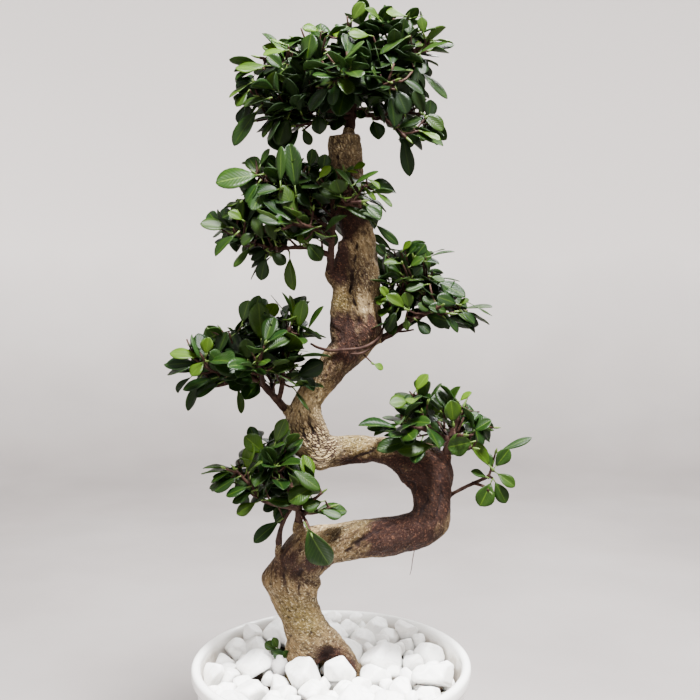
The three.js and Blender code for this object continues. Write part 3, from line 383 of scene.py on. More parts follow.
# Leaves that show best, as [base x, y, z, tip x, y, z, face x, y, z, width, age]
CHOSEN_LEAVES = {
    "leaves_lower_left": [
        [-51, -12, 436, -78, -14, 427, 0, -0.7, 0.7, 17, 0],
        [-42, -10, 429, -65, -12, 412, 0, -0.8, 0.5, 16, 0],
        [-39, -10, 438, -17, -12, 427, 0, -0.8, 0.5, 16, 0],
        [-29, -50, 421, -3, -54, 372, -0.3, -1, 0.15, 33, 0.08],
        [-49, -42, 481, -10, -50, 459, 0.3, -0.8, 0.6, 18, 0.15],
        [-14, -40, 460, -45, -52, 445, 0, -0.9, 0.4, 23, 0.2],
        [-6, -36, 441, -30, -46, 437, 0, -0.8, 0.6, 16, 0.15],
        [-16, -34, 431, 12, -40, 427, 0, -0.6, 0.8, 15, 0.1],
        [-76, -36, 442, -43, -46, 444, 0, -0.6, 0.8, 17, 0.15],
        [-102, -40, 478, -133, -42, 466, -0.1, -0.4, 0.9, 14, 0.05],
        [-98, -42, 470, -128, -48, 457, -0.1, -0.5, 0.85, 14, 0.05],
        [-86, -42, 459, -114, -50, 452, 0, -0.6, 0.8, 15, 0.05],
        [-82, -40, 454, -109, -44, 443, 0, -0.6, 0.8, 13, 0.1],
        [-79, -38, 441, -104, -44, 430, 0, -0.7, 0.7, 15, 0.4],
        [-70, -34, 490, -92, -44, 514, -0.2, -0.8, 0.6, 21, 0.3],
        [-93, -38, 471, -88, -44, 505, -0.5, -0.8, 0.2, 15, 0.6],
        [-64, -28, 498, -52, -30, 531, -0.3, -0.9, 0.3, 18, 0.25],
        [-53, -24, 419, -87, -36, 397, 0, -0.6, 0.8, 18, 0],
    ],
    "leaves_left": [
        [-98, -30, 633, -91, -34, 662, -0.2, -0.9, 0.3, 17, 0.1],
        [-88, -34, 638, -78, -38, 667, 0, -0.95, 0.2, 14, 0.08],
        [-123, -30, 578, -164, -34, 567, -0.1, -0.8, 0.6, 15, 0.03],
        [-118, -28, 573, -150, -32, 558, 0, -0.8, 0.6, 14, 0.03],
        [-75, -36, 610, -78, -44, 659, 0, -1, 0.1, 23, 0.3],
        [-43, -30, 576, -10, -42, 595, 0, -0.9, 0.4, 22, 0.05],
        [-90, -36, 592, -91, -46, 619, 0.1, -0.9, 0.3, 18, 0.35],
        [-139, -34, 599, -175, -38, 608, 0, -0.6, 0.8, 18, 0.75],
        [-137, -36, 600, -133, -42, 621, 0, -0.9, 0.4, 14, 0.7],
        [-136, -38, 597, -152, -46, 582, 0, -0.8, 0.6, 17, 0.7],
        [-140, -32, 594, -181, -34, 585, 0, -0.5, 0.85, 18, 0.1],
        [-36, -28, 625, -31, -34, 662, -0.2, -0.9, 0.3, 17, 0.3],
        [-28, -26, 625, -11, -30, 657, -0.5, -0.7, 0.3, 9, 0.1],
        [-104, -22, 569, -97, -26, 537, 0.6, -0.8, 0.1, 10, 0.25],
    ],
    "leaves_second": [
        [-70, -44, 797, -121, -56, 791, 0, -0.85, 0.5, 30, 0.12],
        [-105, -40, 740, -138, -50, 746, -0.2, -0.85, 0.4, 17, 0.3],
        [-45, -30, 715, -43, -36, 673, -0.5, -0.85, 0.1, 15, 0.45],
        [7, -42, 764, 55, -50, 754, 0.1, -0.7, 0.7, 20, 0.1],
        [16, -46, 769, -9, -56, 785, 0, -0.9, 0.5, 20, 0.2],
        [45, -24, 749, 74, -30, 723, -0.3, -0.9, 0.2, 10, 0.03],
        [-77, -40, 803, -67, -44, 825, -0.4, -0.8, 0.2, 10, 0.08],
        [-52, -60, 778, -53, -64, 824, -0.3, -0.95, 0.1, 13, 0.12],
        [-36, -52, 772, -42, -58, 828, 0.1, -1, 0.1, 20, 0.06],
        [-23, -40, 801, -19, -42, 825, 0, -0.95, 0.2, 11, 0.05],
        [-9, -36, 798, -5, -40, 819, 0.1, -0.95, 0.3, 14, 0.03],
        [-14, -52, 789, -1, -56, 805, -0.2, -0.8, 0.5, 11, 0.85],
        [15, -30, 803, 30, -34, 802, 0, -0.6, 0.8, 8, 1],
        [22, -24, 804, 37, -28, 812, 0, -0.8, 0.6, 10, 0.35],
        [21, -52, 782, 49, -56, 802, 0.2, -0.5, 0.8, 11, 0.08],
        [12, -54, 771, 7, -60, 789, 0, -0.9, 0.4, 20, 0.2],
        [34, -50, 766, 55, -58, 751, 0.2, -0.7, 0.6, 15, 0.1],
        [34, -44, 786, 50, -50, 771, 0.3, -0.7, 0.5, 9, 0.5],
        [46, -40, 781, 68, -46, 765, 0.2, -0.6, 0.8, 11, 0.3],
        [39, -38, 794, 54, -44, 783, 0.2, -0.6, 0.7, 9, 0.45],
        [-94, -44, 769, -111, -50, 765, 0, -0.6, 0.8, 11, 0.6],
        [-99, -44, 759, -116, -50, 752, 0, -0.6, 0.8, 9, 0.25],
        [-91, -50, 746, -107, -56, 757, 0, -0.7, 0.6, 12, 0.65],
        [-97, -50, 736, -124, -58, 712, -0.2, -0.7, 0.6, 15, 0.12],
        [-77, -54, 735, -94, -60, 722, -0.1, -0.7, 0.6, 13, 0.3],
        [-82, -48, 722, -105, -54, 700, -0.2, -0.7, 0.5, 12, 0.2],
        [-66, -46, 718, -86, -50, 707, 0, -0.7, 0.7, 11, 0.05],
        [-69, -44, 712, -75, -48, 684, 0, -1, 0.1, 15, 0.08],
        [-67, -48, 715, -47, -54, 703, 0.1, -0.8, 0.5, 14, 0.25],
        [-28, -44, 727, -9, -50, 706, 0.1, -0.9, 0.3, 18, 0.1],
        [-70, -58, 722, -80, -62, 750, 0, -0.95, 0.2, 13, 0.4],
        [-57, -58, 720, -65, -62, 746, 0, -0.95, 0.2, 13, 0.5],
        [-50, -56, 780, -77, -62, 777, 0, -0.7, 0.7, 16, 0.05],
        [-74, -46, 791, -91, -52, 768, -0.2, -0.8, 0.5, 14, 0.03],
        [-53, -52, 738, -38, -56, 729, 0, -0.7, 0.6, 10, 0.6],
        [-9, -52, 741, -43, -60, 734, 0, -0.5, 0.85, 10, 0.05],
        [-18, -50, 759, -33, -56, 775, 0, -0.85, 0.5, 14, 0.04],
    ],
    "leaves_right": [
        [81, -34, 520, 32, -38, 531, 0, -0.35, 0.93, 20, 0],
        [93, -36, 509, 51, -46, 502, 0, -0.8, 0.6, 19, 0.1],
        [120, -36, 502, 74, -50, 504, 0, -0.65, 0.75, 21, 0.3],
        [159, -40, 508, 129, -50, 503, 0, -1, 0.15, 25, 0.15],
        [135, -38, 524, 132, -46, 552, 0.1, -0.9, 0.3, 20, 0.3],
        [92, -22, 558, 106, -26, 581, -0.4, -0.8, 0.4, 13, 0.7],
        [89, -24, 550, 66, -34, 551, 0, -0.75, 0.65, 18, 0.35],
        [154, -34, 516, 175, -38, 532, 0, -0.7, 0.6, 18, 0.05],
        [141, -26, 549, 154, -30, 562, 0, -0.6, 0.8, 9, 0.75],
    ],
    "leaves_right_sprig": [
        [183, -26, 492, 221, -30, 513, -0.35, -0.75, 0.55, 11, 0.05],
        [180, -28, 464, 166, -34, 434, 0.1, -1, 0.15, 21, 0.15],
        [180, -28, 465, 195, -34, 438, 0.1, -1, 0.15, 16, 0.1],
        [182, -26, 472, 204, -34, 457, -0.2, -0.8, 0.5, 14, 0.2],
        [180, -28, 474, 197, -34, 497, 0.2, -0.9, 0.4, 16, 0.1],
        [180, -28, 473, 158, -34, 506, 0, -0.6, 0.7, 15, 0.4],
        [176, -26, 464, 157, -30, 474, 0, -0.7, 0.6, 10, 0.1],
        [181, -26, 473, 171, -20, 492, 0, -0.7, 0.6, 12, 0.1],
    ],
    "leaves_crown": [
        [80, -24, 869, 89, -28, 829, 0.5, -1, 0.1, 22, 0.05],
        [91, -30, 926, 124, -34, 943, 0, -0.5, 0.8, 16, 0.2],
        [-73, -38, 872, -106, -48, 831, -0.3, -0.8, 0.5, 19, 0.1],
        [-73, -34, 910, -100, -44, 913, 0, -0.6, 0.8, 18, 0.6],
        [76, -30, 849, 89, -32, 798, 0.3, -0.95, 0.1, 17, 0.03],
        [-63, -24, 916, -101, -30, 918, 0, -0.7, 0.7, 17, 0.4],
        [-42, -20, 932, -73, -26, 940, 0, -0.8, 0.6, 14, 0.5],
        [-10, -16, 956, -30, -20, 961, 0, -0.8, 0.6, 12, 0.45],
        [97, -26, 867, 123, -32, 848, 0, -0.8, 0.5, 17, 0.35],
        [93, -26, 913, 130, -30, 885, 0.3, -0.6, 0.7, 15, 0.1],
        [21, -10, 965, 35, -20, 986, 0, -0.9, 0.4, 15, 0.45],
        [57, -14, 965, 40, -24, 979, 0.1, -0.8, 0.6, 14, 0.35],
        [85, -10, 973, 62, -20, 978, 0, -0.6, 0.8, 16, 0.55],
        [85, -10, 970, 101, -14, 976, 0, -0.5, 0.85, 12, 0.5],
        [108, -20, 945, 134, -24, 944, 0, -0.3, 0.95, 13, 0.8],
        [46, -34, 945, 21, -46, 948, 0, -0.7, 0.7, 16, 0.6],
        [-26, -44, 909, -21, -52, 943, -0.2, -0.95, 0.1, 20, 0.1],
        [-10, -26, 952, -28, -32, 956, 0, -0.7, 0.7, 12, 0.6],
        [-44, -36, 930, -71, -46, 926, 0, -0.6, 0.8, 13, 0.75],
        [-45, -30, 936, -62, -36, 944, 0, -0.6, 0.8, 9, 0.9],
        [-83, -34, 897, -110, -40, 883, -0.1, -0.5, 0.85, 12, 0.75],
        [-87, -32, 889, -102, -40, 872, -0.2, -0.7, 0.6, 13, 0.35],
        [-62, -44, 878, -91, -54, 870, 0, -0.65, 0.75, 16, 0.4],
        [-43, -36, 864, -57, -44, 830, -0.2, -0.95, 0.15, 22, 0.2],
        [-13, -36, 864, -11, -42, 841, 0, -1, 0.1, 17, 0.15],
        [-31, -30, 851, -21, -36, 831, 0.1, -0.9, 0.3, 11, 0.35],
        [45, -34, 859, 53, -42, 836, 0.2, -0.95, 0.2, 18, 0.08],
        [68, -36, 846, 96, -46, 859, 0, -0.75, 0.65, 16, 0.12],
        [103, -30, 859, 91, -38, 887, -0.2, -0.9, 0.3, 14, 0.2],
        [106, -26, 854, 110, -30, 879, 0.3, -0.9, 0.2, 16, 0.08],
        [88, -44, 906, 58, -54, 909, 0, -0.7, 0.7, 15, 0.1],
        [-15, -50, 888, 1, -56, 895, 0, -0.7, 0.7, 9, 0.2],
        [102, -24, 947, 99, -30, 967, 0.2, -0.9, 0.3, 12, 0.35],
        [86, -36, 945, 52, -46, 928, 0, -0.5, 0.85, 13, 0.15],
        [-48, -44, 905, -65, -50, 922, -0.1, -0.8, 0.55, 14, 0.08],
        [-92, -26, 877, -101, -32, 855, -0.2, -0.8, 0.5, 10, 0.05],
        [72, -44, 901, 100, -52, 883, 0, -0.7, 0.7, 13, 0.05],
        [69, -46, 890, 82, -52, 861, 0, -0.9, 0.3, 18, 0.03],
        [-9, -44, 917, 11, -50, 926, 0, -0.7, 0.7, 13, 0.05],
    ],
    "leaves_upper_right": [
        [93, 0, 709, 105, -6, 725, -0.1, -0.9, 0.4, 15, 0.03],
        [85, 2, 711, 98, -2, 727, -0.3, -0.8, 0.4, 11, 0.03],
        [79, 4, 716, 89, 0, 729, -0.1, -0.8, 0.5, 9, 0.7],
        [107, 6, 710, 138, 2, 721, 0, -0.1, 1, 14, 0.05],
        [104, 4, 706, 122, 0, 705, 0, -0.35, 0.95, 13, 0.03],
        [86, -8, 698, 102, -14, 710, 0, -0.8, 0.6, 13, 0.2],
        [109, -8, 689, 127, -14, 686, 0, -0.6, 0.8, 11, 0.2],
        [120, -4, 684, 133, -8, 671, 0.3, -0.6, 0.6, 9, 0.03],
        [145, -8, 656, 120, -18, 667, 0, -0.9, 0.4, 18, 0.03],
        [142, -4, 657, 154, -8, 664, 0, -0.7, 0.7, 9, 0.4],
        [151, 0, 661, 183, -6, 649, 0.1, -0.25, 0.95, 13, 0.1],
        [144, -6, 652, 162, -12, 638, 0.2, -0.6, 0.75, 11, 0.04],
        [139, -10, 649, 155, -14, 640, 0.1, -0.6, 0.75, 10, 0.25],
        [125, -10, 645, 143, -16, 628, 0.2, -0.7, 0.6, 12, 0.03],
        [93, -10, 642, 111, -18, 627, 0.1, -0.8, 0.6, 15, 0.03],
        [76, -6, 653, 61, -10, 628, -0.3, -0.9, 0.3, 14, 0.15],
        [86, -16, 651, 63, -24, 669, 0, -0.8, 0.6, 13, 0.75],
        [65, -18, 662, 56, -22, 677, 0, -0.9, 0.4, 9, 0.85],
        [88, -14, 650, 83, -20, 670, 0, -0.9, 0.4, 14, 0.4],
        [84, -8, 644, 85, -10, 629, 0, -1, 0.1, 8, 0.45],
        [133, -14, 647, 110, -22, 657, 0, -0.75, 0.65, 13, 0.06],
        [113, -16, 648, 98, -22, 659, 0, -0.8, 0.55, 12, 0.2],
        [119, -16, 656, 103, -20, 666, 0, -0.8, 0.55, 12, 0.1],
        [63, 0, 711, 52, -4, 724, -0.2, -0.9, 0.3, 11, 0.03],
        [80, -6, 703, 59, -12, 705, 0, -0.5, 0.85, 11, 0.35],
        [110, -14, 680, 83, -20, 676, 0, -0.6, 0.8, 13, 0.1],
        [90, -8, 687, 100, -14, 699, 0, -0.9, 0.4, 13, 0],
    ],
}
CHOSEN_ONLY = ["leaves_right_sprig"]     # pads that carry no leaves but these
# Gaps that the pads leave when they are seen from the front, as [x, z, radius] in the plane
# through the trunk: first those that the filling leaves keep off, then those that no leaf but a
# chosen one shows in
OPEN_SPOTS = [
    [-20, 836, 16], [45, 836, 16], [14, 836, 20], [185, 425, 24], [12, 452, 24], [24, 468, 16],
    [-140, 638, 18], [-121, 549, 20], [-33, 701, 16], [69, 743, 18], [135, 702, 16],
    [118, 623, 20], [181, 544, 20], [-50, 973, 22], [86, 989, 14], [43, 816, 16], [11, 820, 14],
    [24, 770, 10], [-62, 972, 26], [-92, 958, 26],
]
CLEARED_SPOTS = [
    [-52, 390, 17], [-14, 388, 24], [16, 395, 14], [-37, 409, 11], [66, 490, 11], [34, 745, 11],
    [-5, 701, 16], [-54, 550, 16], [-77, 559, 10], [8, 828, 14], [-29, 981, 16], [-51, 969, 16],
    [-12, 976, 10], [-90, 940, 12], [-121, 891, 14], [-113, 865, 12], [-115, 834, 11],
    [-91, 841, 14], [-29, 828, 11], [112, 975, 11], [133, 927, 11], [128, 871, 17], [68, 830, 14],
    [73, 810, 11], [105, 821, 12], [55, 801, 8], [-113, 775, 9], [-144, 739, 10], [-148, 723, 14],
    [-61, 694, 8], [94, 739, 14], [142, 703, 17], [162, 680, 16], [112, 619, 14], [67, 617, 8],
    [-122, 646, 15], [-131, 551, 12], [-11, 648, 8], [-18, 611, 8], [59, 552, 14], [102, 584, 11],
    [141, 570, 8], [165, 561, 11], [179, 543, 10], [195, 496, 10], [-129, 496, 25], [-72, 522, 9],
    [-123, 427, 11], [-87, 399, 15], [10, 453, 16], [-100, 830, 11], [-70, 834, 8], [119, 898, 14],
    [-46, 717, 11], [157, 668, 9], [87, 581, 9], [58, 540, 12], [192, 514, 11], [-4, 454, 10],
    [-14, 465, 10], [-26, 489, 8], [-119, 907, 8], [16, 1003, 14], [35, 1004, 10], [55, 1001, 12],
    [75, 992, 8], [10, 975, 8], [-104, 787, 9], [-126, 771, 9], [-116, 718, 9], [-97, 705, 8],
    [-98, 672, 8], [-179, 570, 8], [-7, 471, 9], [171, 550, 10], [78, 567, 8], [62, 739, 9],
    [126, 701, 9],
]
# Wood inside the pads that no leaf hides
WOOD_IN_SIGHT = [
    [24, 8, 864], [24, 8, 876], [25, 6, 890], [24, 7, 902], [0, -14, 704], [1, -16, 718],
    [2, -17, 732], [-10, -19, 747], [-23, -22, 757], [-36, -25, 767], [8, -24, 760],
    [-76, -10, 567], [-88, -13, 575], [-65, -6, 554], [-37, -19, 430], [-38, -21, 440],
    [-58, -10, 400], [-36, -13, 412], [84, 22, 633], [101, 22, 646], [81, 32, 673],
]
# Small shoots that grow from old wood, as (stem, leaves); a leaf is its tip, width and age
SPRIGS = [
    ([[36, -12, 602], [41, -15, 597], [46, -15, 592]], [([59, -15, 586], 10, 0.5)]),
    ([[-48, 22, 238], [-56, 20, 244], [-63, 20, 250]],
     [([-79, 20, 259], 12, 0.1), ([-68, 16, 266], 9, 0.2), ([-74, 26, 246], 9, 0)]),
    ([[-46, 16, 236], [-51, 14, 242]], [([-68, 12, 251], 13, 0), ([-54, 4, 254], 9, 0)]),
]

# The pebbles that show best, as [x, y, z, width, height]
CHOSEN_PEBBLES = [
    [-102, 88, 244, 25, 26], [-120, 62, 236, 27, 22], [-96, 74, 234, 30, 22],
    [-93, 21, 231, 42, 34], [-136, -2, 230, 22, 32], [-118, 6, 222, 27, 24],
    [-119, -24, 218, 26, 22], [-89, -34, 221, 36, 28], [-61, -8, 219, 24, 26],
    [-32, -5, 235, 44, 36], [-53, -33, 219, 28, 22], [9, -6, 235, 34, 33], [-21, -36, 222, 35, 24],
    [16, -24, 219, 24, 28], [34, -16, 221, 24, 24], [51, 4, 226, 32, 24], [60, 36, 236, 50, 26],
    [95, 38, 227, 26, 24], [39, 85, 236, 30, 28], [21, 116, 238, 28, 22], [56, 112, 240, 32, 32],
    [73, 94, 235, 26, 26], [92, 98, 242, 26, 30], [118, 53, 233, 34, 27], [119, -5, 231, 48, 30],
    [110, -38, 220, 34, 24], [81, -22, 220, 29, 25], [52, -25, 216, 24, 22],
    [-130, 42, 226, 22, 20],
]
DARK_CHIP = Pebble(Vector((-62, 10, 236)), 19, 15, 26, 0.3)

TWIST = math.tau / 420     # of the grain round the limb, for each millimetre

# Thin aerial roots that cling to the bark or hang free, as [x, y, z, radius]
AERIAL_ROOTS = [
    [[-23, -4, 613, 1.2], [-14, -12, 609, 1.6], [0, -16, 606, 1.8], [14, -19, 607, 1.9],
     [28, -19, 608, 1.8], [40, -18, 611, 1.8], [51, -13, 618, 1.6], [58, -3, 629, 1.2]],
    [[20, -18, 603, 1.2], [33, -19, 603, 1.3], [46, -14, 610, 1.4], [56, -5, 622, 1.4],
     [60, 3, 636, 1.1]],
    [[94, -30, 392, 0.7], [93, -31, 384, 0.6], [91, -32, 374, 0.5], [90, -31, 364, 0.4],
     [88, -31, 356, 0.3]],
]


def linear(code):
    """The linear colour, with alpha, of an sRGB hex code."""
    channels = [int(code[i:i + 2], 16) / 255 for i in (1, 3, 5)]
    return [c / 12.92 if c <= 0.04045 else ((c + 0.055) / 1.055) ** 2.4 for c in channels] + [1]


def colour(name, description, code):
    return FloatVectorProperty(name=name, description=description, subtype="COLOR", size=4,
                               min=0, max=1, default=linear(code))


def metres(name, description, default, low, high):
    return FloatProperty(name=name, description=description, unit="LENGTH",
                         default=default, min=low, max=high)


class FicusSettings(bpy.types.PropertyGroup):
    """Sizes and colours of the ficus."""

    leaf_length: metres("Leaf length", "Length of a full-grown leaf with its stalk",
                        0.047, 0.02, 0.08)
    leaf_width: metres("Leaf width", "Widest part of a full-grown leaf", 0.022, 0.01, 0.04)
    leaf_thickness: metres("Leaf thickness", "Thickness of a blade", 0.0005, 0.0002, 0.002)
    leaf_spacing: metres("Leaf spacing", "Distance between the leaves along a branch",
                         0.008, 0.004, 0.02)
    shoot_spacing: metres("Shoot spacing", "Distance between the side shoots that fill a pad",
                          0.008, 0.006, 0.04)
    shoot_length: metres("Shoot length", "Length of a side shoot", 0.021, 0.005, 0.04)
    bark_cell: metres("Bark fineness", "Distance between the points of the bark's skin",
                      0.0016, 0.001, 0.006)
    bark_relief: FloatProperty(
        name="Bark relief", description="How strongly the bark is furrowed",
        default=1, min=0, max=2, subtype="FACTOR")
    small_pebbles: IntProperty(
        name="Small pebbles", description="How many small pebbles fill the gaps at most",
        default=260, min=0, max=400)
    bark_tan: colour("Tan bark", "Old bark in full light", "#8c7755")
    bark_brown: colour("Brown bark", "Old bark where it is weathered", "#35261b")
    # The wine tone is young bark's own, and on the trunk it is also laid on as painted shade
    bark_wine: colour("Wine bark", "Young or shaded bark", "#210e09")
    bark_olive: colour("Olive bark", "Smooth green-brown bark", "#6a5d30")
    bark_pale: colour("Pale bark", "Corky bark", "#b5a27c")
    leaf_old: colour("Old leaf", "Upper side of a full-grown leaf", "#0b2206")
    leaf_young: colour("Young leaf", "Upper side of a new leaf", "#45600e")
    leaf_under: colour("Leaf underside", "Pale underside of a leaf", "#1f3812")
    glaze: colour("Glaze", "Glazed wall of the pot", "#f9f8f5")
    marble: colour("Marble", "Tumbled marble of the pebbles", "#faf9f6")
    soil: colour("Soil", "Moist potting soil", "#2b1e16")
    floor: colour("Floor", "Studio floor", "#787270")
    backdrop: colour("Backdrop", "Where the floor sweeps up", "#d6d0cd")


def random_numbers(seed):
    """Park-Miller numbers between 0 and 1, the same ones as in the solids."""
    state = seed
    while True:
        state = state * 16807 % 2147483647
        yield state / 2147483647


def lerp(low, high, share):
    return low + (high - low) * share


def curve_point(stations, t):
    """The point at t, from 0 to 1, on the smooth curve through some stations."""
    span = t * (len(stations) - 1)
    i = min(int(span), len(stations) - 2)
    w = span - i
    here, there = stations[i], stations[i + 1]
    before = stations[i - 1] if i > 0 else 2 * here - there
    after = stations[i + 2] if i + 2 < len(stations) else 2 * there - here
    leaving, arriving = (there - before) / 2, (after - here) / 2
    return (here + leaving * w + (3 * (there - here) - 2 * leaving - arriving) * w ** 2
            + (2 * (here - there) + leaving + arriving) * w ** 3)


def curve_length(stations):
    points = [curve_point(stations, i / CURVE_STEPS) for i in range(CURVE_STEPS + 1)]
    return sum((b - a).length for a, b in zip(points, points[1:]))


def squared(direction, axis):
    """A direction turned square to an axis."""
    return (direction - axis * direction.dot(axis)).normalized()


def route(stations, radii, steps):
    """Rings along the smooth curve through some stations, each with a frame and a radius."""
    side = Vector((1, 0.3, 0.1))
    rings = []
    for i in range(steps + 1):
        t = i / steps
        ahead = curve_point(stations, min(t + NUDGE, 1))
        tangent = (ahead - curve_point(stations, max(t - NUDGE, 0))).normalized()
        side = squared(side, tangent)
        span = t * (len(radii) - 1)
        low = min(int(span), len(radii) - 2)
        radius = lerp(radii[low], radii[low + 1], span - low)
        rings.append(Ring(curve_point(stations, t), tangent, side, tangent.cross(side), radius))
    return rings


def wood_rings(line, step):
    """Rings about every step millimetres along a line of [x, y, z, radius]."""
    stations = [Vector(p[:3]) for p in line]
    steps = max(2, round(curve_length(stations) / step))
    return route(stations, [p[3] for p in line], steps)


def leaning(ring, lean, around):
    """A direction that leans off a ring's tangent, turned round it."""
    return (ring.tangent * math.cos(lean) + ring.side * (math.sin(lean) * math.cos(around))
            + ring.other * (math.sin(lean) * math.sin(around)))


def nearest_on(point, start, end, start_radius, end_radius):
    """The nearest point on a piece of a limb's axis, and the limb's radius there."""
    along = end - start
    share = min(max((point - start).dot(along) / along.length_squared, 0), 1)
    return start + along * share, lerp(start_radius, end_radius, share)


def limbs_near(point, lines):
    """nearest_on for each piece of some lines of [x, y, z, radius]."""
    for line in lines:
        for start, end in zip(line, line[1:]):
            yield nearest_on(point, Vector(start[:3]), Vector(end[:3]), start[3], end[3])


def add_limb(bm, rings, sides, finish=None):
    """Adds a closed limb: a cylinder whose loops are laid along the rings."""
    steps = len(rings) - 1
    made = bmesh.ops.create_cone(
        bm, cap_ends=True, segments=sides, radius1=1, radius2=1, depth=1)
    verts = made["verts"]
    if steps > 1:
        lengths = [edge for vert in verts if vert.co.z < 0
                   for edge in vert.link_edges if edge.other_vert(vert).co.z > 0]
        cut = bmesh.ops.subdivide_edges(bm, edges=lengths, cuts=steps - 1, use_grid_fill=True)
        verts = {vert for part in cut["geom"] if isinstance(part, bmesh.types.BMEdge)
                 for vert in part.verts}
    for vert in verts:
        ring = rings[round((vert.co.z + 0.5) * steps)]
        point = (ring.centre + ring.side * (vert.co.x * ring.radius)
                 + ring.other * (vert.co.y * ring.radius))
        vert.co = finish(point, ring.centre) if finish else point
    return verts


def spun(outline, steps, merge):
    """A bmesh of (radius, height) points spun about the upright axis, with its seam closed."""
    bm = bmesh.new()
    verts = [bm.verts.new((r, 0, z)) for r, z in outline]
    edges = [bm.edges.new(pair) for pair in zip(verts, verts[1:])]
    bmesh.ops.spin(bm, geom=verts + edges, cent=(0, 0, 0), axis=(0, 0, 1),
                   angle=math.tau, steps=steps, use_merge=True)
    bmesh.ops.remove_doubles(bm, verts=bm.verts, dist=merge)
    return bm


def quarter_turn(start, radius, steps):
    """Points of an outline that bends from level to upright on a quarter of a circle."""
    turns = [step / steps * math.pi / 2 for step in range(1, steps + 1)]
    return [(start + radius * math.sin(turn), radius * (1 - math.cos(turn))) for turn in turns]


def paint_faces(verts, slot):
    """Gives every face that touches the verts a material slot."""
    for vert in verts:
        for face in vert.link_faces:
            face.material_index = slot


def new_object(name, bm, materials):
    """Makes a bmesh in metres a smooth object of the scene."""
    for face in bm.faces:
        face.smooth = True
    mesh = bpy.data.meshes.new(name)
    bm.to_mesh(mesh)
    bm.free()
    for material in materials:
        mesh.materials.append(material)
    made = bpy.data.objects.new(name, mesh)
    bpy.context.scene.collection.objects.link(made)
    return made


def finish_piece(name, bm, materials, nodes=(), turn_out=True):
    """Makes a bmesh in millimetres a piece in metres that stands for some solids."""
    if turn_out:
        bmesh.ops.recalc_face_normals(bm, faces=bm.faces)
    bmesh.ops.scale(bm, vec=(MM, MM, MM), verts=bm.verts)
    piece = new_object(name, bm, materials)
    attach(piece, "root")
    if nodes:
        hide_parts(*nodes)
    return piece


# Materials

SHARE, BASE, OVER = 0, 6, 7     # inputs of a Mix node that blends two colours


def new_material(name):
    """A material without nodes, and what adds them to it."""
    material = bpy.data.materials.get(name) or bpy.data.materials.new(name)
    material.use_nodes = True
    material.node_tree.nodes.clear()
    return material, partial(add_node, material.node_tree)


def add_node(tree, kind, inputs=None, stops=None, **settings):
    """Adds a node. An input is a value, a socket, or a node whose first output in use feeds it;
    stops are a ramp's places with a grey or a colour."""
    node = tree.nodes.new("ShaderNode" + kind)
    for name, value in settings.items():
        setattr(node, name, value)
    for name, value in (inputs or {}).items():
        if isinstance(value, bpy.types.Node):
            value = next(socket for socket in value.outputs if socket.enabled)
        if isinstance(value, bpy.types.NodeSocket):
            tree.links.new(value, node.inputs[name])
        else:
            node.inputs[name].default_value = value
    if stops:
        elements = node.color_ramp.elements
        while len(elements) < len(stops):
            elements.new(1)
        for element, (position, tone) in zip(elements, stops):
            element.position = position
            element.color = tone if isinstance(tone, list) else (tone, tone, tone, 1)
    return node


def per_metre(length_mm):
    """The scale of a pattern that repeats about every so many millimetres."""
    return 1 / (length_mm * MM)


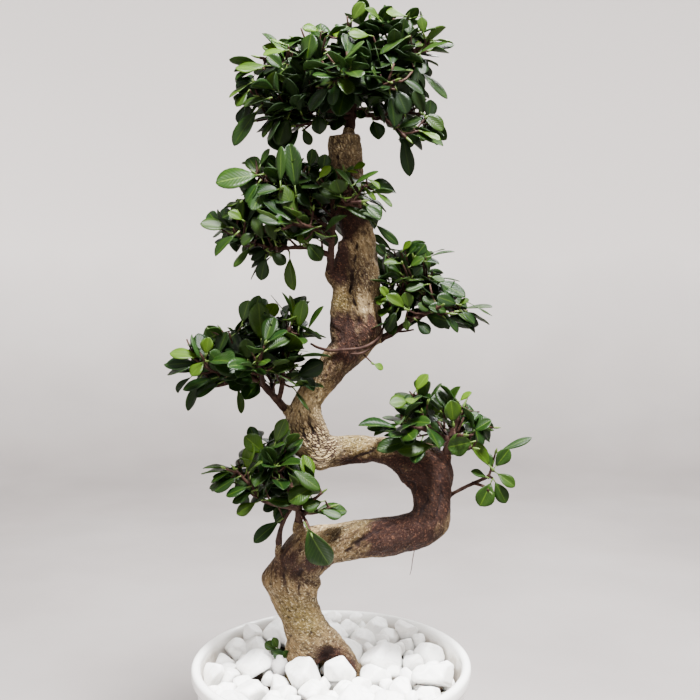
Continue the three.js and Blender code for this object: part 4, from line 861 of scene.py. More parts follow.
def living_bark(settings):
    """Living fig bark: thin and dull, olive tan to wine brown, streaked and cracked along the
    grain, with pale corky pores."""
    material, add = new_material("living_fig_bark")
    grain = add("Attribute", attribute_name="grain").outputs["Vector"]
    hollow, wine, olive, pale, cracked, cut = (
        add("Attribute", attribute_name=name).outputs["Fac"]
        for name in ("hollow", "wine", "olive", "pale", "cracked", "cut"))
    # Patches of weathered bark some 13 mm wide and 26 mm long
    long_grain = add("Mapping", {"Vector": grain, "Scale": (1, 1, 0.5)})
    streaks = add("TexNoise", {"Vector": long_grain, "Scale": per_metre(13), "Detail": 6,
                               "Roughness": 0.66})
    streak = add("ValToRGB", {"Fac": streaks}, [(0.36, 0), (0.62, 1)])
    # Fibres some 3.4 mm apart
    fibre_grain = add("Mapping", {"Vector": grain, "Scale": (1, 1, 0.4)})
    fibres = add("TexNoise", {"Vector": fibre_grain, "Scale": per_metre(3.4), "Detail": 5,
                              "Roughness": 0.75})
    fibre = add("ValToRGB", {"Fac": fibres}, [(0.38, linear("#3a2c22")), (0.5, linear("#d9cfc0")),
                                              (0.64, linear("#fffaf0"))])
    # Young bark and painted shade, with a ragged edge
    wine_noise = add("TexNoise", {"Vector": long_grain, "Scale": per_metre(9), "Detail": 5})
    wine_and_shade_edge = add("Math", {0: wine_noise, 1: 0.9, 2: wine}, operation="MULTIPLY_ADD")
    wine_and_shade_share = add("ValToRGB", {"Fac": wine_and_shade_edge}, [(0.5, 0), (1.38, 0.98)])
    # Corky pores some 1.5 mm across and 3.4 mm apart, each with its own strength, thick in places
    squash = add("Mapping", {"Vector": grain, "Scale": (1, 1, 1.4)})
    pores = add("TexVoronoi", {"Vector": squash, "Scale": per_metre(3.4)})
    pore = add("ValToRGB", {"Fac": pores}, [(0.13, 1), (0.34, 0)])
    chance = add("SeparateColor", {"Color": pores.outputs["Color"]})
    pore_patches = add("TexNoise", {"Vector": grain, "Scale": per_metre(15), "Detail": 4})
    pore_patch = add("ValToRGB", {"Fac": pore_patches}, [(0.4, 0.1), (0.6, 0.65)])
    pore_patch = add("Math", {0: cracked, 1: 1.6, 2: pore_patch}, operation="MULTIPLY_ADD")
    pore_chance = add("Math", {0: chance.outputs["Red"], 1: pore_patch}, operation="MULTIPLY")
    pore_share = add("Math", {0: pore, 1: pore_chance}, operation="MULTIPLY", use_clamp=True)
    cork = add("Mix", {SHARE: wine_and_shade_share, BASE: linear("#c9b791"), OVER: linear("#6e4733")},
               data_type="RGBA")
    # Pale crumbs between the fibres
    fine = add("TexNoise", {"Vector": grain, "Scale": per_metre(2.6), "Detail": 3,
                            "Roughness": 0.7})
    crumb = add("ValToRGB", {"Fac": fine}, [(0.54, 0), (0.7, 0.6)])
    # Dark pits some 4 mm apart
    pits = add("TexVoronoi", {"Vector": long_grain, "Scale": per_metre(4.2)})
    pit = add("ValToRGB", {"Fac": pits}, [(0.12, 1), (0.36, 0)])
    pit_colour = add("SeparateColor", {"Color": pits.outputs["Color"]})
    pit_chance = add("Math", {0: cracked, 1: 0.25, 2: pit_colour.outputs["Green"]},
                     operation="MULTIPLY_ADD")
    pit_chance = add("ValToRGB", {"Fac": pit_chance}, [(0.5, 0), (0.8, 0.9)])
    pit_share = add("Math", {0: pit, 1: pit_chance}, operation="MULTIPLY")
    # Thin dark cracks: a few long ones, and small plates some 3 mm wide where it is cracked
    crack_lines = add("TexNoise", {"Vector": fibre_grain, "Scale": per_metre(11), "Detail": 3,
                                   "Distortion": 0.8})
    crack = add("ValToRGB", {"Fac": crack_lines}, [(0.484, 0), (0.497, 0.4), (0.503, 0.4),
                                                   (0.516, 0)])
    plate_grain = add("Mapping", {"Vector": grain, "Scale": (1, 1, 0.36)})
    warp = add("TexNoise", {"Vector": grain, "Scale": per_metre(7), "Detail": 4})
    warped = add("VectorMath", {0: warp.outputs["Color"], 1: (0.004, 0.004, 0.004),
                                2: plate_grain}, operation="MULTIPLY_ADD")
    plates = add("TexVoronoi", {"Vector": warped, "Scale": per_metre(3.2)},
                 feature="DISTANCE_TO_EDGE")
    split = add("ValToRGB", {"Fac": plates}, [(0.05, 1), (0.17, 0)])
    split_share = add("Math", {0: split, 1: cracked}, operation="MULTIPLY")
    crack = add("Math", {0: crack, 1: split_share}, operation="MAXIMUM")
    # Dirt and shade in the folds
    fold_dirt_and_shade = add("ValToRGB", {"Fac": hollow}, [(0.52, 0), (0.78, 0.92)])
    tone = settings.bark_brown
    for share, over, blend in (
            (streak, settings.bark_tan, "MIX"), (olive, settings.bark_olive, "MIX"),
            (pale, settings.bark_pale, "MIX"), (0.85, fibre, "MULTIPLY"),
            (wine_and_shade_share, settings.bark_wine, "MIX"), (pore_share, cork, "MIX"),
            (crumb, cork, "MIX"), (pit_share, linear("#2a1a14"), "MIX"),
            (crack, linear("#2e1f18"), "MIX"), (fold_dirt_and_shade, linear("#1f1311"), "MIX"),
            (cut, linear("#8d7a62"), "MIX")):
        tone = add("Mix", {SHARE: share, BASE: tone, OVER: over}, data_type="RGBA",
                   blend_type=blend)
    relief = fine
    for layer, height in ((fibres, 1.2), (pore_share, 0.7), (pit_share, -1), (crack, -1.4)):
        relief = add("Math", {0: layer, 1: height, 2: relief}, operation="MULTIPLY_ADD")
    bump = add("Bump", {"Height": relief, "Strength": 0.9, "Distance": 0.002})
    shader = add("BsdfPrincipled", {"Base Color": tone, "Roughness": 0.75, "IOR": 1.45,
                                    "Specular IOR Level": 0.2, "Normal": bump})
    add("OutputMaterial", {"Surface": shader})
    return material


def twig_bark(settings):
    """Thin bark of young wood: smooth, wine brown, with fine pale pores some 2 mm apart."""
    material, add = new_material("young_twig_bark")
    place = add("TexCoord").outputs["Object"]
    patches = add("TexNoise", {"Vector": place, "Scale": per_metre(7), "Detail": 4})
    patch = add("ValToRGB", {"Fac": patches}, [(0.4, 0), (0.65, 1)])
    pores = add("TexVoronoi", {"Vector": place, "Scale": per_metre(2)})
    pore = add("ValToRGB", {"Fac": pores}, [(0.1, 0.25), (0.25, 0)])
    tone = settings.bark_wine
    for share, over in ((patch, "#38261e"), (pore, "#7d684e")):
        tone = add("Mix", {SHARE: share, BASE: tone, OVER: linear(over)}, data_type="RGBA")
    bump = add("Bump", {"Height": patches, "Strength": 0.5, "Distance": 0.0008})
    shader = add("BsdfPrincipled", {"Base Color": tone, "Roughness": 0.7,
                                    "Specular IOR Level": 0.15, "Normal": bump})
    add("OutputMaterial", {"Surface": shader})
    return material


def leaf_skin(name, old, young, roughness):
    """One side of a ficus leaf: thick, leathery and waxed, with a pale midrib and faint veins."""
    material, add = new_material(name)
    age = add("Attribute", attribute_name="age").outputs["Fac"]
    deep = add("Attribute", attribute_name="deep").outputs["Fac"]
    on_blade = add("UVMap", uv_map="blade")
    axes = add("SeparateXYZ", {"Vector": on_blade})
    centred = add("Math", {0: axes.outputs["X"], 1: 0.5}, operation="SUBTRACT")
    off_rib = add("Math", {0: centred}, operation="ABSOLUTE")
    rib = add("ValToRGB", {"Fac": off_rib}, [(0.01, 0.26), (0.034, 0)])
    # Ten pairs of side veins that lean towards the tip
    slant = add("Math", {0: off_rib, 1: -0.55, 2: axes.outputs["Y"]}, operation="MULTIPLY_ADD")
    turns = add("Math", {0: slant, 1: 62.8}, operation="MULTIPLY")
    wave = add("Math", {0: turns}, operation="SINE")
    vein = add("ValToRGB", {"Fac": wave}, [(0.8, 0), (1, 0.08)])
    # Young tissue is lime green, a little mottled, and leaves far down in a pad get painted shade
    place = add("TexCoord").outputs["Object"]
    mottle = add("TexNoise", {"Vector": place, "Scale": per_metre(11), "Detail": 4})
    aged = add("Math", {0: mottle, 1: 0.22, 2: age}, operation="MULTIPLY_ADD")
    youth = add("Math", {0: aged, 1: 0.11}, operation="SUBTRACT", use_clamp=True)
    shade = add("Math", {0: deep, 1: 0.75}, operation="MULTIPLY")
    tone = old
    for share, over in ((youth, young), (vein, linear("#5f8020")), (rib, linear("#6f9028")),
                        (shade, linear("#050f04"))):
        tone = add("Mix", {SHARE: share, BASE: tone, OVER: over}, data_type="RGBA")
    relief = add("Math", {0: rib, 1: -2, 2: wave}, operation="MULTIPLY_ADD")
    bump = add("Bump", {"Height": relief, "Strength": 0.2, "Distance": 0.0003})
    surface = add("BsdfPrincipled", {"Base Color": tone, "Roughness": roughness, "IOR": 1.45,
                                     "Specular IOR Level": 0.15, "Normal": bump})
    # A little light comes through, yellow green
    lit = add("Mix", {SHARE: 0.6, BASE: tone, OVER: linear("#9cc23a")}, data_type="RGBA")
    through = add("BsdfTranslucent", {"Color": lit})
    both = add("MixShader", {0: 0.05, 1: surface, 2: through})
    add("OutputMaterial", {"Surface": both})
    return material


def leaf_materials(settings):
    """The waxed upper skin and the duller, paler underside."""
    return [leaf_skin("waxed_leaf_top", settings.leaf_old, settings.leaf_young, 0.4),
            leaf_skin("leaf_underside", settings.leaf_under, linear("#40591b"), 0.55)]


def green_stalk():
    """Leaf stalks and bud scales: soft, pale green tissue with a satin skin."""
    material, add = new_material("green_stalk")
    place = add("TexCoord").outputs["Object"]
    patches = add("TexNoise", {"Vector": place, "Scale": per_metre(12), "Detail": 2})
    tone = add("Mix", {SHARE: patches, BASE: linear("#2f4516"), OVER: linear("#55682a")},
               data_type="RGBA")
    shader = add("BsdfPrincipled", {"Base Color": tone, "Roughness": 0.5,
                                    "Specular IOR Level": 0.25})
    add("OutputMaterial", {"Surface": shader})
    return material


def white_glaze(settings):
    """Glazed stoneware: white and glossy, faintly uneven, dusty and stained inside the wall, with
    painted shade darkening the stains there.
    """
    material, add = new_material("white_glazed_stoneware")
    place = add("TexCoord").outputs["Object"]
    inner = add("Attribute", attribute_name="inner").outputs["Fac"]
    # Stains inside the wall, darkened further as painted shade
    stain_and_shade_noise = add("TexNoise", {"Vector": place, "Scale": per_metre(26), "Detail": 6,
                              "Roughness": 0.65})
    stain_and_shade = add("ValToRGB", {"Fac": stain_and_shade_noise}, [(0.3, 0.15), (0.66, 0.9)])
    share = add("Math", {0: stain_and_shade, 1: inner}, operation="MULTIPLY")
    tone = add("Mix", {SHARE: share, BASE: settings.glaze, OVER: linear("#9d8c74")},
               data_type="RGBA")
    # Orange peel of the glaze, some 9 mm across
    peel = add("TexNoise", {"Vector": place, "Scale": per_metre(9), "Detail": 2})
    bump = add("Bump", {"Height": peel, "Strength": 0.12, "Distance": 0.0006})
    rough = add("Math", {0: share, 1: 0.4, 2: 0.2}, operation="MULTIPLY_ADD")
    shader = add("BsdfPrincipled", {"Base Color": tone, "Roughness": rough, "IOR": 1.5,
                                    "Coat Weight": 0.3, "Coat Roughness": 0.08, "Normal": bump})
    add("OutputMaterial", {"Surface": shader})
    return material


def tumbled_marble(settings):
    """Tumbled marble chips: white and dull, a little see-through, with faint grey veins."""
    material, add = new_material("tumbled_white_marble")
    place = add("TexCoord").outputs["Object"]
    dark = add("Attribute", attribute_name="dark").outputs["Fac"]
    clouds = add("TexNoise", {"Vector": place, "Scale": per_metre(30), "Detail": 5,
                              "Distortion": 1.2})
    vein = add("ValToRGB", {"Fac": clouds}, [(0.46, 0), (0.5, 0.3), (0.55, 0)])
    grey = add("Math", {0: clouds, 1: dark}, operation="MULTIPLY")
    tone = settings.marble
    for share, over in ((vein, "#bdb9b4"), (grey, "#4b3f47")):
        tone = add("Mix", {SHARE: share, BASE: tone, OVER: linear(over)}, data_type="RGBA")
    # Grit of the tumbling, drawn at 2.5 mm, which is as coarse as it needs to show
    grit = add("TexNoise", {"Vector": place, "Scale": per_metre(2.5), "Detail": 4})
    bump = add("Bump", {"Height": grit, "Strength": 0.25, "Distance": 0.0005})
    shader = add("BsdfPrincipled", {"Base Color": tone, "Roughness": 0.5, "IOR": 1.49,
                                    "Subsurface Weight": 0.15, "Subsurface Scale": 0.004,
                                    "Subsurface Radius": (1, 0.9, 0.8), "Normal": bump})
    add("OutputMaterial", {"Surface": shader})
    return material


def potting_soil(settings):
    """Moist potting soil: dark crumbs of peat, paler where they dry, some 4 mm apart."""
    material, add = new_material("potting_soil")
    place = add("TexCoord").outputs["Object"]
    crumbs = add("TexNoise", {"Vector": place, "Scale": per_metre(4), "Detail": 6,
                              "Roughness": 0.7})
    share = add("ValToRGB", {"Fac": crumbs}, [(0.4, 0), (0.7, 1)])
    tone = add("Mix", {SHARE: share, BASE: settings.soil, OVER: linear("#5a4534")},
               data_type="RGBA")
    bump = add("Bump", {"Height": crumbs, "Strength": 1, "Distance": 0.002})
    shader = add("BsdfPrincipled", {"Base Color": tone, "Roughness": 0.95, "Normal": bump})
    add("OutputMaterial", {"Surface": shader})
    return material


def studio_paint(settings):
    """Matt emulsion paint on the studio floor, paler where it sweeps up."""
    material, add = new_material("studio_floor_paint")
    place = add("TexCoord").outputs["Object"]
    height = add("SeparateXYZ", {"Vector": place}).outputs["Z"]
    rise = add("ValToRGB", {"Fac": height}, [(0, 0), (1, 1)])
    clouds = add("TexNoise", {"Vector": place, "Scale": per_metre(400), "Detail": 6})
    share = add("Math", {0: clouds, 1: 0.25, 2: rise}, operation="MULTIPLY_ADD")
    tone = add("Mix", {SHARE: share, BASE: settings.floor, OVER: settings.backdrop},
               data_type="RGBA")
    shader = add("BsdfPrincipled", {"Base Color": tone, "Roughness": 0.9})
    add("OutputMaterial", {"Surface": shader})
    return material


# Pot and soil

def soil_level(y):
    """Height of the soil's surface, which rises in the back half."""
    return SOIL_LEVEL + SOIL_SLOPE * max(0, y)


def inner_radius(z):
    """Inner radius of the pot at a height."""
    top = POT_HEIGHT - LIP_HEIGHT
    return BASE_RADIUS + (RIM_RADIUS - LIP_OVERHANG - BASE_RADIUS) * (z / top) - WALL


class FICUS_OT_pot(bpy.types.Operator):
    """Adds the glazed pot, spun from its outline"""

    bl_idname = "ficus.pot"
    bl_label = "Pot"

    def execute(self, context):
        wall_top = POT_HEIGHT - LIP_HEIGHT
        wall_radius = RIM_RADIUS - LIP_OVERHANG
        outline = [(0, 0), (BASE_RADIUS - BASE_CHAMFER, 0),
                   *quarter_turn(BASE_RADIUS - BASE_CHAMFER, BASE_CHAMFER, 4)]
        # The lip's underside, its rounded bead, and the inner wall down to the floor
        outline += [(wall_radius - 0.3, wall_top - 3), (wall_radius, wall_top),
                    (RIM_RADIUS - 2.4, wall_top + 0.6), (RIM_RADIUS - 0.7, wall_top + 1.7),
                    (RIM_RADIUS, wall_top + 4)]
        for step in range(BEAD_STEPS + 1):
            turn = step / BEAD_STEPS * math.pi
            outline.append((wall_radius + LIP_OVERHANG * math.cos(turn),
                            POT_HEIGHT - LIP_OVERHANG + LIP_OVERHANG * math.sin(turn)))
        corner = FLOOR_THICKNESS + FLOOR_ROUNDING
        outline += [(RIM_RADIUS - 2 * LIP_OVERHANG, wall_top), (inner_radius(MID_WALL), MID_WALL),
                    (inner_radius(corner), corner),
                    (inner_radius(FLOOR_THICKNESS) - FLOOR_ROUNDING, FLOOR_THICKNESS),
                    (0, FLOOR_THICKNESS)]
        bm = spun(outline, 128, 0.01)
        inner = bm.verts.layers.float.new("inner")
        # The inner wall, which carries the stains and their painted shade
        for vert in bm.verts:
            reach = math.hypot(vert.co.x, vert.co.y)
            if reach < inner_radius(vert.co.z) + 1 and FLOOR_THICKNESS <= vert.co.z < wall_top + 8:
                vert[inner] = 1
        finish_piece("glazed_pot", bm, [white_glaze(context.scene.ficus)], ["pot"])
        return {"FINISHED"}


class FICUS_OT_soil(bpy.types.Operator):
    """Adds the soil that fills the pot, with a crumbly top"""

    bl_idname = "ficus.soil"
    bl_label = "Soil"

    def execute(self, context):
        bm = bmesh.new()
        made = bmesh.ops.create_grid(bm, x_segments=SOIL_CELLS, y_segments=SOIL_CELLS, size=1)
        for vert in made["verts"]:
            # The square grid is drawn in to a disc
            x = vert.co.x * math.sqrt(1 - vert.co.y ** 2 / 2)
            y = vert.co.y * math.sqrt(1 - vert.co.x ** 2 / 2)
            radius = inner_radius(soil_level(y * inner_radius(SOIL_LEVEL))) - CLEARANCE
            place = Vector((x, y, 0)) * radius / CRUMB_SIZE
            crumbs = CRUMB_HEIGHT * noise.turbulence(place, 3, False) - CRUMB_SINK
            edge = min(1, 12 * (1 - math.hypot(x, y)))
            vert.co = x * radius, y * radius, soil_level(y * radius) + crumbs * edge
        rim = [edge for edge in bm.edges if edge.is_boundary]
        skirt = bmesh.ops.extrude_edge_only(bm, edges=rim)["geom"]
        bottom = FLOOR_THICKNESS + CLEARANCE
        for vert in [part for part in skirt if isinstance(part, bmesh.types.BMVert)]:
            shrink = (inner_radius(bottom) - CLEARANCE) / math.hypot(vert.co.x, vert.co.y)
            vert.co = vert.co.x * shrink, vert.co.y * shrink, bottom
        foot = [part for part in skirt
                if isinstance(part, bmesh.types.BMEdge) and part.is_boundary]
        bmesh.ops.edgeloop_fill(bm, edges=foot)
        finish_piece("crumbly_soil", bm, [potting_soil(context.scene.ficus)], ["soil"])
        return {"FINISHED"}


# Pebbles

def pebble_places():
    """The chosen pebbles, and more along a spiral wherever there is room."""
    random = random_numbers(PEBBLE_SEED)
    places = [[Vector((x, y, z)), width, height] for x, y, z, width, height in CHOSEN_PEBBLES]
    roots = [root[-2] for root in ROOTS]
    for size in FILL_SIZES:
        reach = inner_radius(SOIL_LEVEL) - size * 0.8
        for i in range(FILL_SPOTS):
            distance = reach * math.sqrt((i + 0.5) / FILL_SPOTS)
            x = distance * math.cos(i * GOLDEN_ANGLE)
            y = distance * math.sin(i * GOLDEN_ANGLE)
            free = all(math.hypot(p.x - x, p.y - y) > FILL_CROWDING * (size + width / 2)
                       for p, width, _ in places)
            if free and all(math.hypot(rx - x, ry - y) > radius + size * 0.7
                            for rx, ry, _, radius in roots):
                z = soil_level(y) + PEBBLE_LIFT + 4 * (next(random) - 0.5)
                places.append([Vector((x, y, z)), size * (1.9 + 0.3 * next(random)),
                               min(size * 2 * PEBBLE_FLATNESS, 2 * (BED_TOP - z))])
    return [Pebble(centre, width, width * (0.8 + 0.2 * next(random)), height,
                   next(random) - 0.5) for centre, width, height in places]


def pebble_limits(pebble, others, yielding=False):
    """Flat limits, as (normal, distance), that keep a pebble off everything round it. One that
    yields leaves its neighbours their whole size, and the others share the space between them."""
    limits = []
    on_soil = Vector((0, 0, SOIL_LEVEL + CLEARANCE))
    for slope in (0, SOIL_SLOPE):
        down = Vector((0, slope, -1)).normalized()
        limits.append((down, down.dot(on_soil)))
    slant = inner_radius(1) - inner_radius(0)
    inset = math.cos(math.pi / WALL_FACETS)
    foot = inner_radius(0) * inset
    for i in range(WALL_FACETS):
        turn = (i + 0.5) / WALL_FACETS * math.tau
        normal = Vector((math.cos(turn), math.sin(turn), -slant * inset)).normalized()
        on_wall = Vector((math.cos(turn) * foot, math.sin(turn) * foot, 0))
        limits.append((normal, normal.dot(on_wall) - CLEARANCE))
    for other in others:
        gap = other.centre - pebble.centre
        if 0 < gap.length < pebble.width + other.width:
            share = pebble.width / (pebble.width + other.width)
            if yielding and other.width > pebble.width:
                share = max(0.1, 1 - size_towards(other, gap) / gap.length)
            normal = gap.normalized()
            limits.append((normal, normal.dot(pebble.centre + gap * share) - CLEARANCE / 2))
    for nearest, radius in limbs_near(pebble.centre, [*ROOTS, TRUNK[:4]]):
        normal = (nearest - pebble.centre).normalized()
        limits.append((normal, normal.dot(nearest) - radius - ROOT_MARGIN))
    return limits


def size_towards(pebble, direction):
    """How far a pebble reaches in a direction."""
    x, y, z = direction.normalized()
    half = [max(side, 1) / 2 for side in (pebble.width, pebble.depth, pebble.height)]
    return 1 / math.sqrt((x / half[0]) ** 2 + (y / half[1]) ** 2 + (z / half[2]) ** 2)


def chip_planes(random, pebble):
    """The flat sides that a stone was broken to before it was tumbled, as for the limits."""
    planes = []
    nearest, spread = STONE_CUTS
    for i in range(STONE_SIDES):
        z = 1 - (2 * i + 1) / STONE_SIDES
        turn = i * GOLDEN_ANGLE + 6 * next(random)
        flat = math.sqrt(1 - z * z)
        normal = Vector((flat * math.cos(turn), flat * math.sin(turn), z + 0.5 * next(random)))
        normal.normalize()
        cut = size_towards(pebble, normal) * (nearest + spread * next(random))
        planes.append((normal, normal.dot(pebble.centre) + cut))
    return planes


def add_pebble(bm, pebble, limits, random, fineness):
    """Adds a stone: a lumpy ball drawn in softly to its broken sides and to its limits."""
    planes = limits + chip_planes(random, pebble)
    drop = max(pebble.height / 2, pebble.centre.z - soil_level(pebble.centre.y))
    cos, sin = math.cos(pebble.turn), math.sin(pebble.turn)
    made = bmesh.ops.create_icosphere(bm, subdivisions=fineness, radius=1)
    for vert in made["verts"]:
        lump = 1.16 + 0.22 * noise.noise(vert.co * 1.1 + pebble.centre)
        x, y = vert.co.x * pebble.width / 2, vert.co.y * pebble.depth / 2
        z = vert.co.z * (pebble.height / 2 if vert.co.z > 0 else drop)
        offset = Vector((x * cos - y * sin, x * sin + y * cos, z)) * lump
        # A soft minimum of the room that each side leaves
        closeness = math.exp(-SHARPNESS)
        for normal, distance in planes:
            outward = normal.dot(offset)
            if outward > 0:
                room = (distance - normal.dot(pebble.centre)) / outward
                closeness += math.exp(-SHARPNESS * min(room, 3))
        vert.co = pebble.centre + offset * max(0.05, -math.log(closeness) / SHARPNESS)
    return made["verts"]


class FICUS_OT_pebbles(bpy.types.Operator):
    """Adds the marble pebbles: one piece for each solid, and the small ones between them"""

    bl_idname = "ficus.pebbles"
    bl_label = "Pebbles"

    def execute(self, context):
        settings = context.scene.ficus
        marble = tumbled_marble(settings)
        places = pebble_places()
        random = random_numbers(STONE_SEED)
        for i, pebble in enumerate(places):
            name = f"pebble_{i + 1:02}"
            bm = bmesh.new()
            bm.verts.layers.float.new("dark")
            add_pebble(bm, pebble, pebble_limits(pebble, places), random, 4)
            finish_piece(f"marble_{name}", bm, [marble], [name])
        small = self.small_places(places, settings.small_pebbles)
        bm = bmesh.new()
        dark = bm.verts.layers.float.new("dark")
        for pebble in small:
            limits = pebble_limits(pebble, places + small, yielding=True)
            low = pebble.centre.z - soil_level(pebble.centre.y) < LOW_CHIP
            verts = add_pebble(bm, pebble, limits, random, 2 if low else 3)
            for vert in verts if pebble is DARK_CHIP else ():
                vert[dark] = CHIP_DARKNESS
        finish_piece("marble_chips", bm, [marble])
        return {"FINISHED"}

    def small_places(self, places, most):
        """Small pebbles in the gaps of the bed."""
        random = random_numbers(CHIP_SEED)
        small = [DARK_CHIP]
        for lift, spread in CHIP_PASSES:
            for _ in range(CHIP_TRIES):
                size = min(lerp(*CHIP_SIZES, next(random)), CHIP_STEEPNESS * lift)
                distance = (inner_radius(SOIL_LEVEL) - size * 0.45) * next(random) ** spread
                turn = math.tau * next(random)
                x, y = distance * math.cos(turn), distance * math.sin(turn)
                centre = Vector((x, y, soil_level(y) + lift))
                if len(small) < most and self.is_free(centre, size, places + small):
                    small.append(Pebble(centre, size, size * (0.7 + 0.25 * next(random)),
                                        min(size * 0.9, 2 * (BED_TOP - centre.z)), turn))
        return small

    def is_free(self, centre, size, others):
        for other in others:
            gap = centre - other.centre
            if gap.length < size_towards(other, gap) * 1.03 + size * 0.3:
                return False
        return all((nearest - centre).length >= radius + size * 0.4
                   for nearest, radius in limbs_near(centre, [*ROOTS, TRUNK[:8]]))


# Trunk

def stored(points):
    """A tree in which the nearest of some points is found quickly."""
    tree = KDTree(len(points))
    for i, point in enumerate(points):
        tree.insert(point, i)
    tree.balance()
    return tree


def crease_moves(bm):
    """How far each vert is sunk where the bark is folded, in millimetres."""
    noise.seed_set(FOLD_SEED)     # or else noise_vector is seeded by the clock
    lines = []
    for width, depth, points in CREASES:
        stations = [Vector(p) for p in points]
        steps = max(4, round(curve_length(stations) / 1.5))
        lines.append((width, depth, steps, stored(
            [curve_point(stations, i / steps) for i in range(steps + 1)])))
    sunk = []
    for vert in bm.verts:
        total = 0
        wavy = vert.co + FOLD_WAVE * noise.noise_vector(vert.co / 9)
        for width, depth, steps, tree in lines:
            _, i, distance = tree.find(wavy)
            if distance < 3 * width:
                fade = min(1, 3 * min(i, steps - i) / steps + 0.05)
                fade *= 0.75 + 0.8 * noise.noise(vert.co / 9)
                total += fade * depth * math.exp(-(distance / width) ** 2)
        sunk.append(total)
    return sunk


def mound(point, x, y, z, spread, height):
    """What a soft mound adds at a point: its height in the middle, and less further off."""
    return height * math.exp(-(point - Vector((x, y, z))).length_squared / spread ** 2)


def swollen(point, axis):
    """Pushes a point of the bark off or towards the limb's axis near a swelling or a dimple."""
    rise = sum(mound(point, *row) for row in SWELLINGS + DIMPLES)
    return point + (point - axis).normalized() * rise


def add_stub(bm, main_branch):
    """The flared stub on the trunk that carries a main branch."""
    joint, following = main_branch.route[:2]
    along = (following - joint).normalized()
    stations = [main_branch.seat, joint - along * 8, joint + along * 3]
    radius = main_branch.radius
    add_limb(bm, route(stations, [radius * 1.7, radius * 1.15, radius * 0.98], 10), 16)


def fuse(bm, cell):
    """Joins the bodies of a bmesh into one skin of even cells."""
    rough = bpy.data.objects.new("rough_wood", bpy.data.meshes.new("rough_wood"))
    bm.to_mesh(rough.data)
    bpy.context.scene.collection.objects.link(rough)
    skin = rough.modifiers.new("Skin", "REMESH")
    skin.mode = "VOXEL"
    skin.voxel_size = cell
    depsgraph = bpy.context.evaluated_depsgraph_get()
    fused = rough.evaluated_get(depsgraph)
    bm.clear()
    bm.from_mesh(fused.to_mesh())
    fused.to_mesh_clear()
    coarse = rough.data
    bpy.data.objects.remove(rough)
    bpy.data.meshes.remove(coarse)


def unroll(bm, rings):
    """For each vert, its place along the straightened and untwisted trunk: across, across and
    along."""
    tree = stored([ring.centre for ring in rings])
    travelled = [0]
    for before, ring in zip(rings, rings[1:]):
        travelled.append(travelled[-1] + (ring.centre - before.centre).length)
    places = []
    for vert in bm.verts:
        _, i, _ = tree.find(vert.co)
        ring = rings[i]
        off = vert.co - ring.centre
        along = travelled[i] + off.dot(ring.tangent)
        place = Vector((off.dot(ring.side), off.dot(ring.other), along))
        place.rotate(Quaternion((0, 0, 1), TWIST * along))
        places.append(place)
    return places


def crease(value, width):
    """1 where a noise value passes through nought, falling to 0 at the width."""
    return max(0, 1 - abs(value) / width)


def grain_noise(place, across, along, shift=0):
    """Noise whose lumps are so many millimetres across the grain and along it."""
    x, y, z = place
    return noise.noise(Vector((x / across, y / across, z / along + shift)))


def bark_height(place):
    """Relief of the bark, in millimetres: lumps, grooves along the grain and fine wrinkles."""
    lumps = 1.8 * grain_noise(place, 26, 34)
    lumps += 1.1 * grain_noise(place, 9, 11, 7)
    strand = grain_noise(place, 15, 80, 31)
    groove_share = grain_noise(place, 50, 60, 90)
    grooves = -1.8 * max(0, groove_share) * crease(strand, 0.12) + 1.2 * abs(strand)
    wrinkle = grain_noise(place, 30, 6, 50)
    wrinkle_share = grain_noise(place, 40, 45, 150)
    wrinkles = -0.9 * max(0, wrinkle_share + 0.1) * crease(wrinkle, 0.12)
    grit = 0.5 * grain_noise(place, 3.5, 4)
    return lumps + grooves + wrinkles + grit


def even_out(bm, times):
    """Draws each vert towards the middle of its neighbours, so many times."""
    for _ in range(times):
        bmesh.ops.smooth_vert(bm, verts=bm.verts, factor=0.5, use_axis_x=True,
                              use_axis_y=True, use_axis_z=True)


